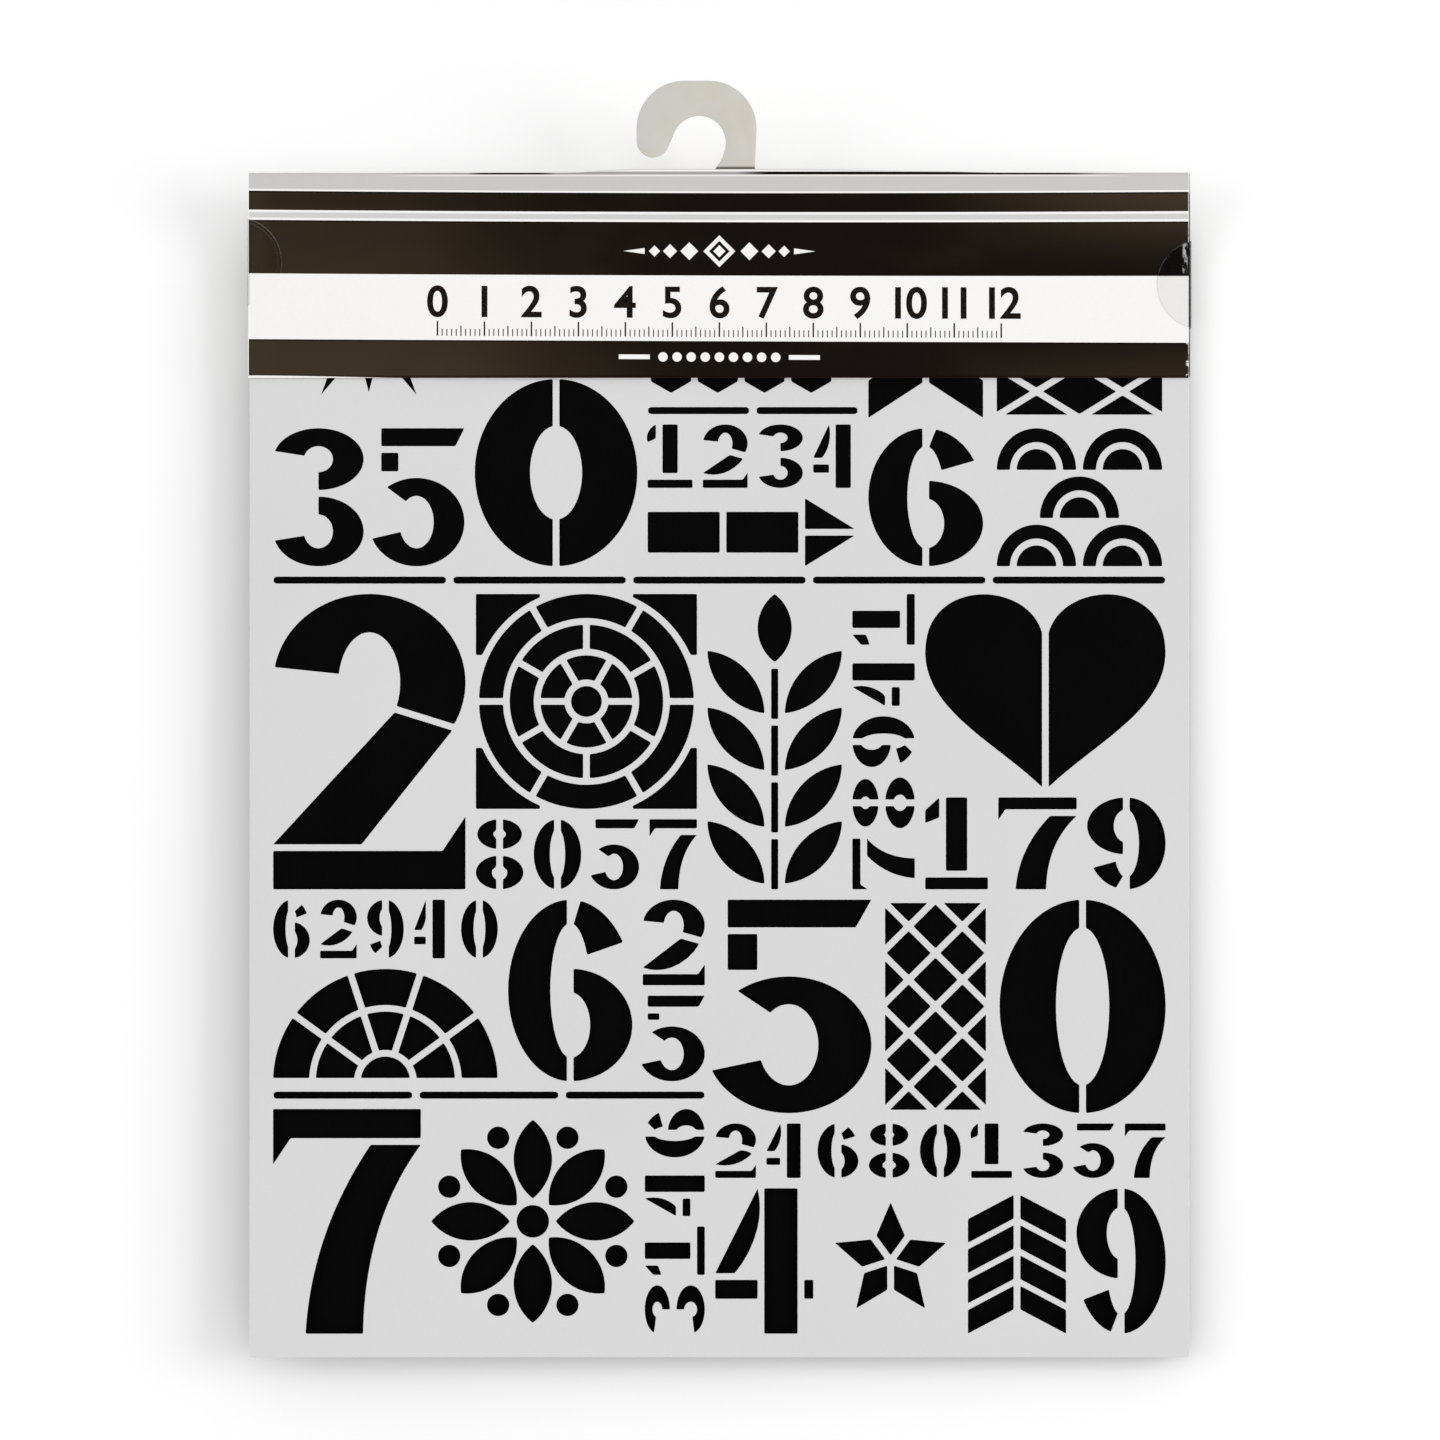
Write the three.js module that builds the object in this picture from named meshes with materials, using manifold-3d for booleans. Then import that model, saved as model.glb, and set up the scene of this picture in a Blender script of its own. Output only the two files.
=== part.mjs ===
// A stencil in its shop pack. The cut plastic sheet and a black backing card stand in the fold of
// a printed header card, two round seals close the header's sides, and a flat plastic hook, taped
// inside the header, comes out through a long slit in its fold.
// Millimetres, +Z up, front towards -Y. The origin is the point of the hook that a peg carries.

import * as THREE from "three";
import { mergeVertices } from "three/addons/utils/BufferGeometryUtils.js";
import Module from "manifold-3d";

const wasm = await Module();
wasm.setup();

// Stencil sheet
const SHEET_WIDTH = 200;
const SHEET_HEIGHT = 250;
const SHEET_THICKNESS = 0.25;

// Cut field of the sheet: plain border, strips between motifs, bridges inside them, ruled lines
const FIELD_MARGIN = 5;
const MOTIF_GAP = 2.2;
const BRIDGE = 1.4;
const RULE_WIDTH = 1.5;

// Backing card, as wide and tall as the sheet
const BACKING_THICKNESS = 0.4;

// Header card, with a slit in its fold that runs on past the hook, and lips that stand up beside it:
// the front one so far above the fold, and the back one as far as the rest of the fold's card goes
const HEADER_HEIGHT = 43.4;
const HEADER_THICKNESS = 0.3;
const SHEET_DROP = 0.95;
const SLIT_OVERRUN = 65;
const FRONT_LIP_RISE = 0.9;

// Clearances: beside the sheets, between layers that slide, and glued films
const SIDE_CLEARANCE = 0.3;
const SLIDE_CLEARANCE = 0.1;
const GLUE_LINE = 0.02;

// Hook above the header
const HANGER_THICKNESS = 0.8;
const HOOK_REACH = 12.1;
const PEG_RADIUS = 5.64;
const CREST_WIDTH = 7.5;
const STEM_WIDTH = 6.6;
const SHOULDER_RADIUS = 10.2;
const TIP_RADIUS = 3.5;
const TIP_LIFT = 0.3;
const TIP_GAP = 0.7;
const NECK_WIDTH = 9.1;
const NECK_LEAN = 1.65;
const HOOK_OFFSET = 4.3;

// Base of the hanger, inside the header, and the tape that holds it there
const BASE_WIDTH = 60;
const BASE_HEIGHT = 18;
const BASE_CORNER = 3;
const BASE_DROP = 2;
const TAPE_MARGIN = 2;
const TAPE_THICKNESS = 0.15;

// Round seals, wrapped by hand round the header's side edges at different heights
const SEAL_DIAMETER = 19;
const SEAL_THICKNESS = 0.1;
const SEAL_FRONT_REACH = 7.2;
const LEFT_SEAL_DROP = 19.1;
const RIGHT_SEAL_DROP = 23.9;

// Greatest distance of a facet from the true curve, in the flat outlines and in the header's fold
const CHORD_ERROR = 0.12;
const FOLD_CHORD_ERROR = 0.01;

// Grid that the corners of joined and cut solids lie on
const CORNER_GRID = 0.0001;

// Straight steps in the free curves of a numeral's bend, a heart's lobe and the header's lips, and
// columns in a seal
const BEND_STEPS = 6;
const LOBE_STEPS = 9;
const LIP_STEPS = 8;
const SEAL_COLUMNS = 16;

// Layers from back to front, as world Y of their faces
const hangerBack = HANGER_THICKNESS / 2;
const hangerFront = -HANGER_THICKNESS / 2;
const tapeBack = hangerBack + GLUE_LINE + TAPE_THICKNESS;
const pocketBack = tapeBack + GLUE_LINE;
const headerBack = pocketBack + HEADER_THICKNESS;
const backingBack = hangerFront - SLIDE_CLEARANCE;
const backingFront = backingBack - BACKING_THICKNESS;
const sheetBack = backingFront - SLIDE_CLEARANCE;
const sheetFront = sheetBack - SHEET_THICKNESS;
const pocketFront = sheetFront - SLIDE_CLEARANCE;
const headerFront = pocketFront - HEADER_THICKNESS;

// Levels and places seen from the front, from the peg's seat
const pocketRadius = (pocketBack - pocketFront) / 2;
const foldRadius = pocketRadius + HEADER_THICKNESS;
const headerTop = -HOOK_REACH;
const headerBottom = headerTop - HEADER_HEIGHT;
const foldLine = headerTop - foldRadius;
const sheetTop = foldLine - SHEET_DROP;
const sheetBottom = sheetTop - SHEET_HEIGHT;
const packCentre = HOOK_OFFSET;
const headerHalfWidth = SHEET_WIDTH / 2 + SIDE_CLEARANCE;
const stemRight = PEG_RADIUS + STEM_WIDTH;
const neckCentre = PEG_RADIUS + STEM_WIDTH / 2 - NECK_LEAN;
const neckLeft = neckCentre - NECK_WIDTH / 2;
const neckRight = neckCentre + NECK_WIDTH / 2;
const slitLeft = neckLeft - SLIT_OVERRUN;
const slitRight = neckRight + SLIT_OVERRUN;
const slitFloor = foldLine - HEADER_THICKNESS;
const backLipRise = (Math.PI - 2) * foldRadius - FRONT_LIP_RISE;
const baseTop = foldLine - BASE_DROP;
const baseBottom = baseTop - BASE_HEIGHT;

const halfBridge = BRIDGE / 2;
const QUARTER = Math.PI / 2;
const HALF = Math.PI;

const sheetPlastic = new THREE.MeshStandardMaterial({ color: 0xdcdcdc, roughness: 0.45, metalness: 0 });
const blackCard = new THREE.MeshStandardMaterial({ color: 0x0b0b0b, roughness: 0.85, metalness: 0 });
const printedCard = new THREE.MeshStandardMaterial({ color: 0x2e251d, roughness: 0.25, metalness: 0 });
const hookPlastic = new THREE.MeshStandardMaterial({ color: 0xcecbc4, roughness: 0.4, metalness: 0 });
const adhesiveTape = new THREE.MeshStandardMaterial({ color: 0xd8d0bc, roughness: 0.6, metalness: 0 });
const clearFilm = new THREE.MeshStandardMaterial({ color: 0xf0f0f2, roughness: 0.15, metalness: 0 });

const point = (x, y) => new THREE.Vector2(x, y);
const radians = THREE.MathUtils.degToRad;

// Curves and simple outlines

function arc(cx, cy, rx, ry, from, to, chordError = CHORD_ERROR) {
  const largest = Math.max(rx, ry, 2 * chordError);
  const turn = 2 * Math.acos(1 - chordError / largest);
  const steps = Math.max(2, Math.ceil(Math.abs(to - from) / turn));
  return new THREE.EllipseCurve(cx, cy, rx, ry, from, to, to < from).getPoints(steps);
}

function bar(left, bottom, right, top) {
  return [point(left, bottom), point(right, bottom), point(right, top), point(left, top)];
}

function disc(cx, cy, radius) {
  return arc(cx, cy, radius, radius, 0, 2 * HALF).slice(1);
}

// A bar as a list of one, or of none if it is too narrow or too low to be cut
function cuttable(outline) {
  const [lowerLeft, , upperRight] = outline;
  const size = upperRight.clone().sub(lowerLeft);
  return Math.min(size.x, size.y) < halfBridge ? [] : [outline];
}

// A bar with round ends
function slot(left, right, cy, width) {
  const radius = width / 2;
  return [
    ...arc(right - radius, cy, radius, radius, -QUARTER, QUARTER),
    ...arc(left + radius, cy, radius, radius, QUARTER, 3 * QUARTER),
  ];
}

// A convex outline, counter-clockwise, drawn in by a distance from every side
function inset(outline, distance) {
  const count = outline.length;
  const sides = outline.map((start, i) => {
    const along = outline[(i + 1) % count].clone().sub(start).normalize();
    const inward = point(-along.y, along.x);
    return { along, start: start.clone().addScaledVector(inward, distance) };
  });
  return sides.map((side, i) => {
    const before = sides[(i + count - 1) % count];
    const offset = side.start.clone().sub(before.start);
    const step = offset.cross(side.along) / before.along.cross(side.along);
    return before.start.clone().addScaledVector(before.along, step);
  });
}

// A piece of a round ring between two angles, with half a bridge left off along both ends
function sector(cx, cy, inner, outer, from, to) {
  const trim = Math.asin(halfBridge / outer);
  const apex = halfBridge / Math.sin((to - from) / 2);
  const rim = arc(cx, cy, outer, outer, from + trim, to - trim);
  if (inner <= apex) {
    const middle = (from + to) / 2;
    return [...rim, point(cx + apex * Math.cos(middle), cy + apex * Math.sin(middle))];
  }
  const innerTrim = Math.asin(halfBridge / inner);
  return [...rim, ...arc(cx, cy, inner, inner, to - innerTrim, from + innerTrim)];
}

// The upper half of a round ring
function halfRing(cx, cy, inner, outer) {
  return [...arc(cx, cy, outer, outer, 0, HALF), ...arc(cx, cy, inner, inner, HALF, 0)];
}

// A pointed leaf between two points, with round sides
function leaf(base, tip, width) {
  const along = tip.clone().sub(base);
  const half = along.length() / 2;
  const bulge = width / 2;
  const radius = (half * half + bulge * bulge) / (2 * bulge);
  const reach = Math.asin(half / radius);
  const upper = arc(0, bulge - radius, radius, radius, QUARTER - reach, QUARTER + reach);
  const lower = upper.slice(1, -1).reverse().map((p) => point(p.x, -p.y));
  const middle = base.clone().add(tip).multiplyScalar(0.5);
  return [...upper, ...lower].map((p) => p.rotateAround(point(0, 0), along.angle()).add(middle));
}

function polar(cx, cy, radius, angle) {
  return point(cx + radius * Math.cos(angle), cy + radius * Math.sin(angle));
}

// Numerals: bowls are thick at the flanks and thin at the crowns. Each takes the width and height
// of its place and gives its outlines from the lower left corner.

const FLANK_SHARE = 0.34;
const CROWN_SHARE = 0.13;
const UPPER_SHARE = 0.47;
const SERIF_SHARE = 0.9;
const SERIF_SLANT = 0.6;

function bowl(cx, cy, rx, ry, from, to, flank, crown) {
  return [...arc(cx, cy, rx, ry, from, to), ...arc(cx, cy, rx - flank, ry - crown, to, from)];
}

// Half of an upright oval ring, cut straight beside its middle line
function halfBowl(cx, cy, rx, ry, side, flank, crown) {
  const outerEnd = Math.acos(halfBridge / rx);
  const innerEnd = Math.acos(Math.min(halfBridge / (rx - flank), 0.9));
  const outer = arc(0, 0, rx, ry, -outerEnd, outerEnd);
  const inner = arc(0, 0, rx - flank, ry - crown, innerEnd, -innerEnd);
  return [...outer, ...inner].map((p) => point(cx + side * p.x, cy + p.y));
}

function ovalRing(cx, cy, rx, ry, flank, crown) {
  return [halfBowl(cx, cy, rx, ry, 1, flank, crown), halfBowl(cx, cy, rx, ry, -1, flank, crown)];
}

function zero(w, h) {
  return ovalRing(w / 2, h / 2, w / 2, h / 2, w * FLANK_SHARE, h * CROWN_SHARE);
}

function one(w, h) {
  const foot = h * CROWN_SHARE;
  const left = w * (1 - FLANK_SHARE) / 2;
  const right = w - left;
  const flag = left - BRIDGE;
  const flagDrop = h * 0.14;
  const flagSlant = h * 0.06;
  const flagLow = h - 2 * flagDrop;
  return [
    bar(left, foot + BRIDGE, right, h),
    [point(0, flagLow), point(flag, flagLow + flagSlant), point(flag, h), point(0, h - flagDrop)],
    bar(0, 0, w, foot),
  ];
}

function two(w, h) {
  const flank = w * FLANK_SHARE;
  const crown = h * CROWN_SHARE;
  const ry = h * 0.3;
  const cy = h - ry;
  const start = radians(170);
  const end = radians(-28);
  const heel = w * 0.46;
  const serif = crown * (1 + SERIF_SHARE);
  const slant = crown * SERIF_SLANT;
  const outer = point(w / 2 + w / 2 * Math.cos(end), cy + ry * Math.sin(end));
  const inner = point(w / 2 + (w / 2 - flank) * Math.cos(end), cy + (ry - crown) * Math.sin(end));
  const across = outer.clone().sub(inner).normalize();
  const onward = point(across.y, -across.x).multiplyScalar(BRIDGE);
  const floor = crown + BRIDGE;
  return [
    bowl(w / 2, cy, w / 2, ry, end, start, flank, crown),
    [inner.add(onward), point(0, floor), point(heel, floor), outer.add(onward)],
    [point(0, 0), point(w, 0), point(w, serif), point(w - slant, crown), point(0, crown)],
  ];
}

function three(w, h) {
  const flank = w * FLANK_SHARE;
  const crown = h * CROWN_SHARE;
  const upper = (h - BRIDGE) * UPPER_SHARE / 2;
  const lower = (h - BRIDGE) / 2 - upper;
  const end = radians(165);
  return [
    bowl(w / 2, h - upper, w / 2, upper, -QUARTER, end, flank, crown),
    bowl(w / 2, lower, w / 2, lower, -end, QUARTER, flank, crown),
  ];
}

function four(w, h) {
  const flank = w * FLANK_SHARE;
  const sill = h * 0.24;
  const shelf = sill + h * CROWN_SHARE;
  const stem = w * 0.5;
  const slope = (h - shelf - BRIDGE) / (stem - BRIDGE);
  const foot = w * 0.2;
  const arm = bar(stem + flank + BRIDGE, sill, w, shelf);
  return [
    bar(stem, 0, stem + flank, h),
    bar(0, sill, stem - BRIDGE, shelf),
    ...cuttable(arm),
    [
      point(0, shelf + BRIDGE),
      point(foot, shelf + BRIDGE),
      point(stem - BRIDGE, h - foot * slope),
      point(stem - BRIDGE, h),
    ],
  ];
}

function five(w, h) {
  const crown = h * CROWN_SHARE;
  const ry = h * 0.32;
  const cx = w * 0.47;
  const start = radians(-158);
  const end = radians(128);
  const postLeft = w * 0.08;
  const postRight = w * 0.27;
  const slant = w * 0.1;
  const flag = h - crown;
  const post = bar(postLeft, 2 * ry + BRIDGE, postRight, flag - BRIDGE);
  return [
    bowl(cx, ry, w - cx, ry, start, end, w * FLANK_SHARE, crown),
    ...cuttable(post),
    [point(postLeft, flag), point(w - slant, flag), point(w, h), point(postLeft, h)],
  ];
}

function six(w, h) {
  const flank = w * FLANK_SHARE;
  const crown = h * CROWN_SHARE;
  const ry = h * 0.31;
  const start = radians(32);
  const end = Math.acos(halfBridge / (w / 2 - flank));
  return [
    halfBowl(w / 2, h / 2, w / 2, h / 2, -1, flank, crown),
    halfBowl(w / 2, ry, w / 2, ry, 1, flank, crown),
    bowl(w / 2, h / 2, w / 2, h / 2, start, end, flank, crown),
  ];
}

function seven(w, h) {
  const crown = h * CROWN_SHARE;
  const ledge = h - crown;
  const top = ledge - BRIDGE;
  const serif = ledge - crown * SERIF_SHARE;
  const slant = crown * SERIF_SLANT;
  const heel = point(w * 0.22, 0);
  const toe = point(w * 0.61, 0);
  const back = new THREE.QuadraticBezierCurve(point(w * 0.66, top), point(w * 0.26, h * 0.45), heel);
  const front = new THREE.QuadraticBezierCurve(toe, point(w * 0.62, h * 0.5), point(w, top));
  return [
    [point(0, serif), point(slant, ledge), point(w, ledge), point(w, h), point(0, h)],
    [...back.getPoints(BEND_STEPS), ...front.getPoints(BEND_STEPS)],
  ];
}

function eight(w, h) {
  const flank = w * FLANK_SHARE;
  const crown = h * CROWN_SHARE;
  const upper = (h - BRIDGE) * UPPER_SHARE / 2;
  const lower = (h - BRIDGE) / 2 - upper;
  return [
    ...ovalRing(w / 2, h - upper, w * UPPER_SHARE, upper, flank, crown),
    ...ovalRing(w / 2, lower, w / 2, lower, flank, crown),
  ];
}

function nine(w, h) {
  return six(w, h).map((outline) => outline.map((p) => point(w - p.x, h - p.y)));
}

// Ornaments, common stencil forms, on the same terms as the numerals

// The four corners of a square place, outside a round motif that fills it
function spandrels(w, h) {
  const half = Math.min(w, h) / 2;
  const radius = half + BRIDGE;
  const blunt = Math.acos((half - halfBridge) / radius);
  const near = radius * Math.sin(blunt);
  const corner = [
    point(w / 2, near),
    point(w / 2, h / 2),
    point(near, h / 2),
    ...arc(0, 0, radius, radius, QUARTER - blunt, blunt),
  ];
  const flips = [[1, 1], [-1, 1], [-1, -1], [1, -1]];
  return flips.map(([sx, sy]) => corner.map((p) => point(w / 2 + sx * p.x, h / 2 + sy * p.y)));
}

// Pointed petals round a dot, with a bead between each two
function rosette(petals) {
  return (w, h) => {
    const radius = Math.min(w, h) / 2;
    const hub = radius * 0.16;
    const start = hub + BRIDGE;
    const step = 2 * HALF / petals;
    const width = (start + radius) * Math.tan(step / 2) - 2 * BRIDGE;
    const bead = Math.min(radius * Math.tan(step / 2) * 0.34, radius * 0.11);
    const outlines = [disc(w / 2, h / 2, hub)];
    for (let i = 0; i < petals; i += 1) {
      const angle = QUARTER + i * step;
      const base = polar(w / 2, h / 2, start, angle);
      const tip = polar(w / 2, h / 2, radius, angle);
      const dot = polar(w / 2, h / 2, radius - bead, angle + step / 2);
      outlines.push(leaf(base, tip, width), disc(dot.x, dot.y, bead));
    }
    return outlines;
  };
}

// A disc with long and short rays
function sunburst(rays) {
  return (w, h) => {
    const radius = Math.min(w, h) / 2;
    const heart = radius * 0.42;
    const step = 2 * HALF / rays;
    const foot = heart + BRIDGE;
    const spread = step / 2 - halfBridge / foot;
    const shortRay = radius * 0.84;
    const outlines = [0, HALF].map((from) => sector(w / 2, h / 2, 0, heart, from, from + HALF));
    for (let i = 0; i < rays; i += 1) {
      const angle = i * step;
      const reach = i % 2 === 0 ? radius : shortRay;
      outlines.push([
        polar(w / 2, h / 2, foot, angle - spread),
        polar(w / 2, h / 2, reach, angle),
        polar(w / 2, h / 2, foot, angle + spread),
      ]);
    }
    return outlines;
  };
}

// Rings inside each other, each broken by bridges that step round from ring to ring
function target(rings, pieces) {
  return (w, h) => {
    const radius = Math.min(w, h) / 2;
    const pitch = radius / (rings + 0.5);
    const step = 2 * HALF / pieces;
    const outlines = [disc(w / 2, h / 2, pitch / 2)];
    for (let ring = 0; ring < rings; ring += 1) {
      const inner = pitch * (ring + 0.5) + BRIDGE;
      const outer = pitch * (ring + 1.5);
      for (let i = 0; i < pieces; i += 1) {
        const from = (i + ring / 2) * step;
        outlines.push(sector(w / 2, h / 2, inner, outer, from, from + step));
      }
    }
    return [...outlines, ...spandrels(w, h)];
  };
}

// A pointed star made of kites that meet in the middle
function star(points) {
  return (w, h) => {
    const radius = Math.min(w, h) / 2;
    const waist = radius * 0.46;
    const step = 2 * HALF / points;
    const outlines = [];
    for (let i = 0; i < points; i += 1) {
      const angle = QUARTER + i * step;
      outlines.push(inset([
        point(w / 2, h / 2),
        polar(w / 2, h / 2, waist, angle - step / 2),
        polar(w / 2, h / 2, radius, angle),
        polar(w / 2, h / 2, waist, angle + step / 2),
      ], halfBridge));
    }
    return outlines;
  };
}

// Half rings spread over half rings, like a shell
function fan(ribs) {
  return (w, h) => {
    const radius = Math.min(w / 2, h);
    const hinge = radius * 0.22;
    const fold = radius * 0.62;
    const step = HALF / ribs;
    const outlines = [sector(w / 2, 0, 0, hinge, 0, HALF)];
    for (let i = 0; i < ribs; i += 1) {
      const from = i * step;
      outlines.push(sector(w / 2, 0, hinge + BRIDGE, fold, from, from + step));
      outlines.push(sector(w / 2, 0, fold + BRIDGE, radius, from, from + step));
    }
    return outlines;
  };
}

// Rows of scales, each a half ring over a half disc, every other row shifted by half a scale
function scales(across) {
  return (w, h) => {
    const pitch = w / across;
    const outer = (pitch - BRIDGE) / 2;
    const inner = outer * 0.5;
    const rows = Math.max(1, Math.round((h + BRIDGE) / (outer + BRIDGE)));
    const rise = (h + BRIDGE) / rows;
    const outlines = [];
    for (let row = 0; row < rows; row += 1) {
      const shifted = row % 2;
      const place = (p) => point(p.x, row * rise + p.y * (rise - BRIDGE) / outer);
      for (let i = 0; i < across - shifted; i += 1) {
        const cx = pitch * (i + 0.5 + shifted / 2);
        outlines.push(halfRing(cx, 0, inner + BRIDGE, outer).map(place));
        outlines.push(arc(cx, 0, inner, inner, 0, HALF).map(place));
      }
    }
    return outlines;
  };
}

// Six-sided cells
function honeycomb(across) {
  return (w, h) => {
    const pitch = w / (across + 0.5);
    const side = pitch / Math.sqrt(3);
    const rows = Math.max(1, Math.floor((h - 2 * side) / (1.5 * side)) + 1);
    const spread = rows > 1 ? (h - 2 * side) / (rows - 1) : 0;
    const radius = side - halfBridge / Math.cos(HALF / 6);
    const outlines = [];
    for (let row = 0; row < rows; row += 1) {
      for (let i = 0; i < across; i += 1) {
        const cx = pitch * (i + 0.5 + (row % 2) / 2);
        const cy = side + row * spread;
        outlines.push([0, 1, 2, 3, 4, 5].map((k) => polar(cx, cy, radius, radians(30 + 60 * k))));
      }
    }
    return outlines;
  };
}

// Nested arrowheads, each in two halves
function chevrons(count) {
  return (w, h) => {
    const riseShare = 0.8;
    const pitch = h / (count + riseShare);
    const band = pitch - BRIDGE;
    const inner = w / 2 - halfBridge;
    const outlines = [];
    for (let i = 0; i < count; i += 1) {
      const low = i * pitch;
      const high = low + pitch * riseShare;
      const left = [point(0, low), point(inner, high), point(inner, high + band), point(0, low + band)];
      outlines.push(left, left.map((p) => point(w - p.x, p.y)));
    }
    return outlines;
  };
}

// Lozenges side by side, with halves along the edges
function lozenges(across, down) {
  return (w, h) => {
    const dx = w / across / 2;
    const dy = h / down / 2;
    const outlines = [];
    for (let column = 0; column <= 2 * across; column += 1) {
      for (let row = (column + 1) % 2; row <= 2 * down; row += 2) {
        const cx = column * dx;
        const cy = row * dy;
        const corners = [point(cx + dx, cy), point(cx, cy + dy), point(cx - dx, cy), point(cx, cy - dy)];
        const within = (p) => p.x > -dx / 2 && p.x < w + dx / 2 && p.y > -dy / 2 && p.y < h + dy / 2;
        outlines.push(inset(corners.filter(within), halfBridge));
      }
    }
    return outlines;
  };
}

function heart(w, h) {
  const cheek = w / 2 - halfBridge;
  const cleft = point(0, h * 0.8);
  const widest = point(cheek, h * 0.7);
  const foot = point(0, 0);
  const lobePulls = [point(cheek * 0.12, h * 1.07), point(cheek, h * 1.09)];
  const flankPulls = [point(cheek, h * 0.4), point(cheek * 0.42, h * 0.24)];
  const lobe = new THREE.CubicBezierCurve(cleft, ...lobePulls, widest);
  const flank = new THREE.CubicBezierCurve(widest, ...flankPulls, foot);
  const right = [...lobe.getPoints(LOBE_STEPS), ...flank.getPoints(LOBE_STEPS).slice(1)];
  return [-1, 1].map((side) => right.map((p) => point(w / 2 + side * (halfBridge + p.x), p.y)));
}

// A shaft of bars behind a broad head, pointing right
function arrow(bars) {
  return (w, h) => {
    const head = h * 0.78;
    const shaft = h * 0.6;
    const pitch = (w - head) / bars;
    const outlines = [];
    for (let i = 0; i < bars; i += 1) {
      outlines.push(bar(i * pitch, (h - shaft) / 2, (i + 1) * pitch - BRIDGE, (h + shaft) / 2));
    }
    const back = w - head;
    const tip = w - halfBridge;
    const lowEdge = h / 2 - halfBridge;
    const highEdge = h / 2 + halfBridge;
    outlines.push([point(back, highEdge), point(tip, highEdge), point(back, h)]);
    outlines.push([point(back, 0), point(tip, lowEdge), point(back, lowEdge)]);
    return outlines;
  };
}

// An upright twig with pairs of leaves and one leaf at its top
function sprig(pairs) {
  return (w, h) => {
    const twig = RULE_WIDTH;
    const pitch = h / (pairs + 1.2);
    const reach = (w - twig) / 2 - BRIDGE;
    const climb = pitch * 1.1;
    const width = pitch * reach / Math.hypot(reach, climb) - BRIDGE;
    const outlines = [];
    for (let i = 0; i < pairs; i += 1) {
      const low = i * pitch;
      outlines.push(bar((w - twig) / 2, low, (w + twig) / 2, low + pitch - BRIDGE));
      for (const side of [-1, 1]) {
        const base = point(w / 2 + side * (twig / 2 + BRIDGE), low + pitch * 0.1);
        const tip = point(base.x + side * reach, base.y + climb);
        outlines.push(leaf(base, tip, width));
      }
    }
    outlines.push(leaf(point(w / 2, pairs * pitch), point(w / 2, h), pitch * 0.6));
    return outlines;
  };
}

// Round-ended lines in a row
function rule(pieces) {
  return (w, h) => {
    const pitch = (w + BRIDGE) / pieces;
    const outlines = [];
    for (let i = 0; i < pieces; i += 1) {
      outlines.push(slot(i * pitch, (i + 1) * pitch - BRIDGE, h / 2, h));
    }
    return outlines;
  };
}

// Layout: a place is divided across or down by shares, with fixed sizes for ruled lines

function move(outlines, dx, dy) {
  return outlines.map((outline) => outline.map((p) => point(p.x + dx, p.y + dy)));
}

function shareOut(length, cells) {
  const shares = cells.reduce((sum, [share]) => sum + share, 0);
  const fixed = cells.reduce((sum, [, , size = 0]) => sum + size, 0);
  const free = length - fixed - MOTIF_GAP * (cells.length - 1);
  return cells.map(([share, , size = 0]) => size + free * share / shares);
}

function across(...cells) {
  return (w, h) => {
    let left = 0;
    return shareOut(w, cells).flatMap((width, i) => {
      const outlines = move(cells[i][1](width, h), left, 0);
      left += width + MOTIF_GAP;
      return outlines;
    });
  };
}

function down(...cells) {
  return (w, h) => {
    let top = h;
    return shareOut(h, cells).flatMap((height, i) => {
      const outlines = move(cells[i][1](w, height), 0, top - height);
      top -= height + MOTIF_GAP;
      return outlines;
    });
  };
}

// A motif that lies on its side, with its foot to the right
function lying(motif) {
  return (w, h) => motif(h, w).map((outline) => outline.map((p) => point(w - p.y, p.x)));
}

const line = (pieces) => [0, rule(pieces), RULE_WIDTH];
const row = (...motifs) => across(...motifs.map((motif) => [1, motif]));
const column = (...motifs) => down(...motifs.map((motif) => [1, motif]));

const cutField = down(
  [78, across(
    [40, down([46, sunburst(12)], [30, row(three, five)])],
    [34, eight],
    [44, down([42, honeycomb(4)], line(2), [14, row(one, two, three, four)], [15, arrow(2)])],
    [24, down([46, chevrons(4)], [30, six])],
    [36, down([46, lozenges(2, 4)], [30, scales(2)])],
  )],
  line(5),
  [64, across(
    [40, two],
    [46, down([46, target(3, 6)], [15, row(eight, zero, five, seven)])],
    [28, sprig(4)],
    [13, lying(row(seven, eight, nine, four, one))],
    [50, down([42, heart], [20, across([12, one], [15, seven], [15, nine])])],
  )],
  [94, across(
    [92, down(
      [38, across(
        [47, down([12, row(six, two, nine, four, zero)], [23, fan(5)])],
        [26, six],
        [13, column(two, five)],
      )],
      line(3),
      [47, across([32, seven], [44, rosette(8)], [13, lying(row(three, one, four, six))])],
    )],
    [96, down(
      [47, across([32, five], [22, lozenges(2, 4)], [34, zero])],
      [12, row(two, four, six, eight, zero, one, three, five, seven)],
      [32, across([22, four], [30, star(5)], [22, chevrons(4)], [20, nine])],
    )],
  )],
);

// Pieces

function mesh(name, geometry, material) {
  const piece = new THREE.Mesh(geometry, material);
  piece.name = name;
  return piece;
}

// A flat piece cut from sheet stock, with its back face at a layer
function flatPiece(name, shape, thickness, back, material) {
  const geometry = new THREE.ExtrudeGeometry(shape, { depth: thickness, bevelEnabled: false });
  const piece = mesh(name, geometry, material);
  piece.position.z = -back;
  return piece;
}

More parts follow.
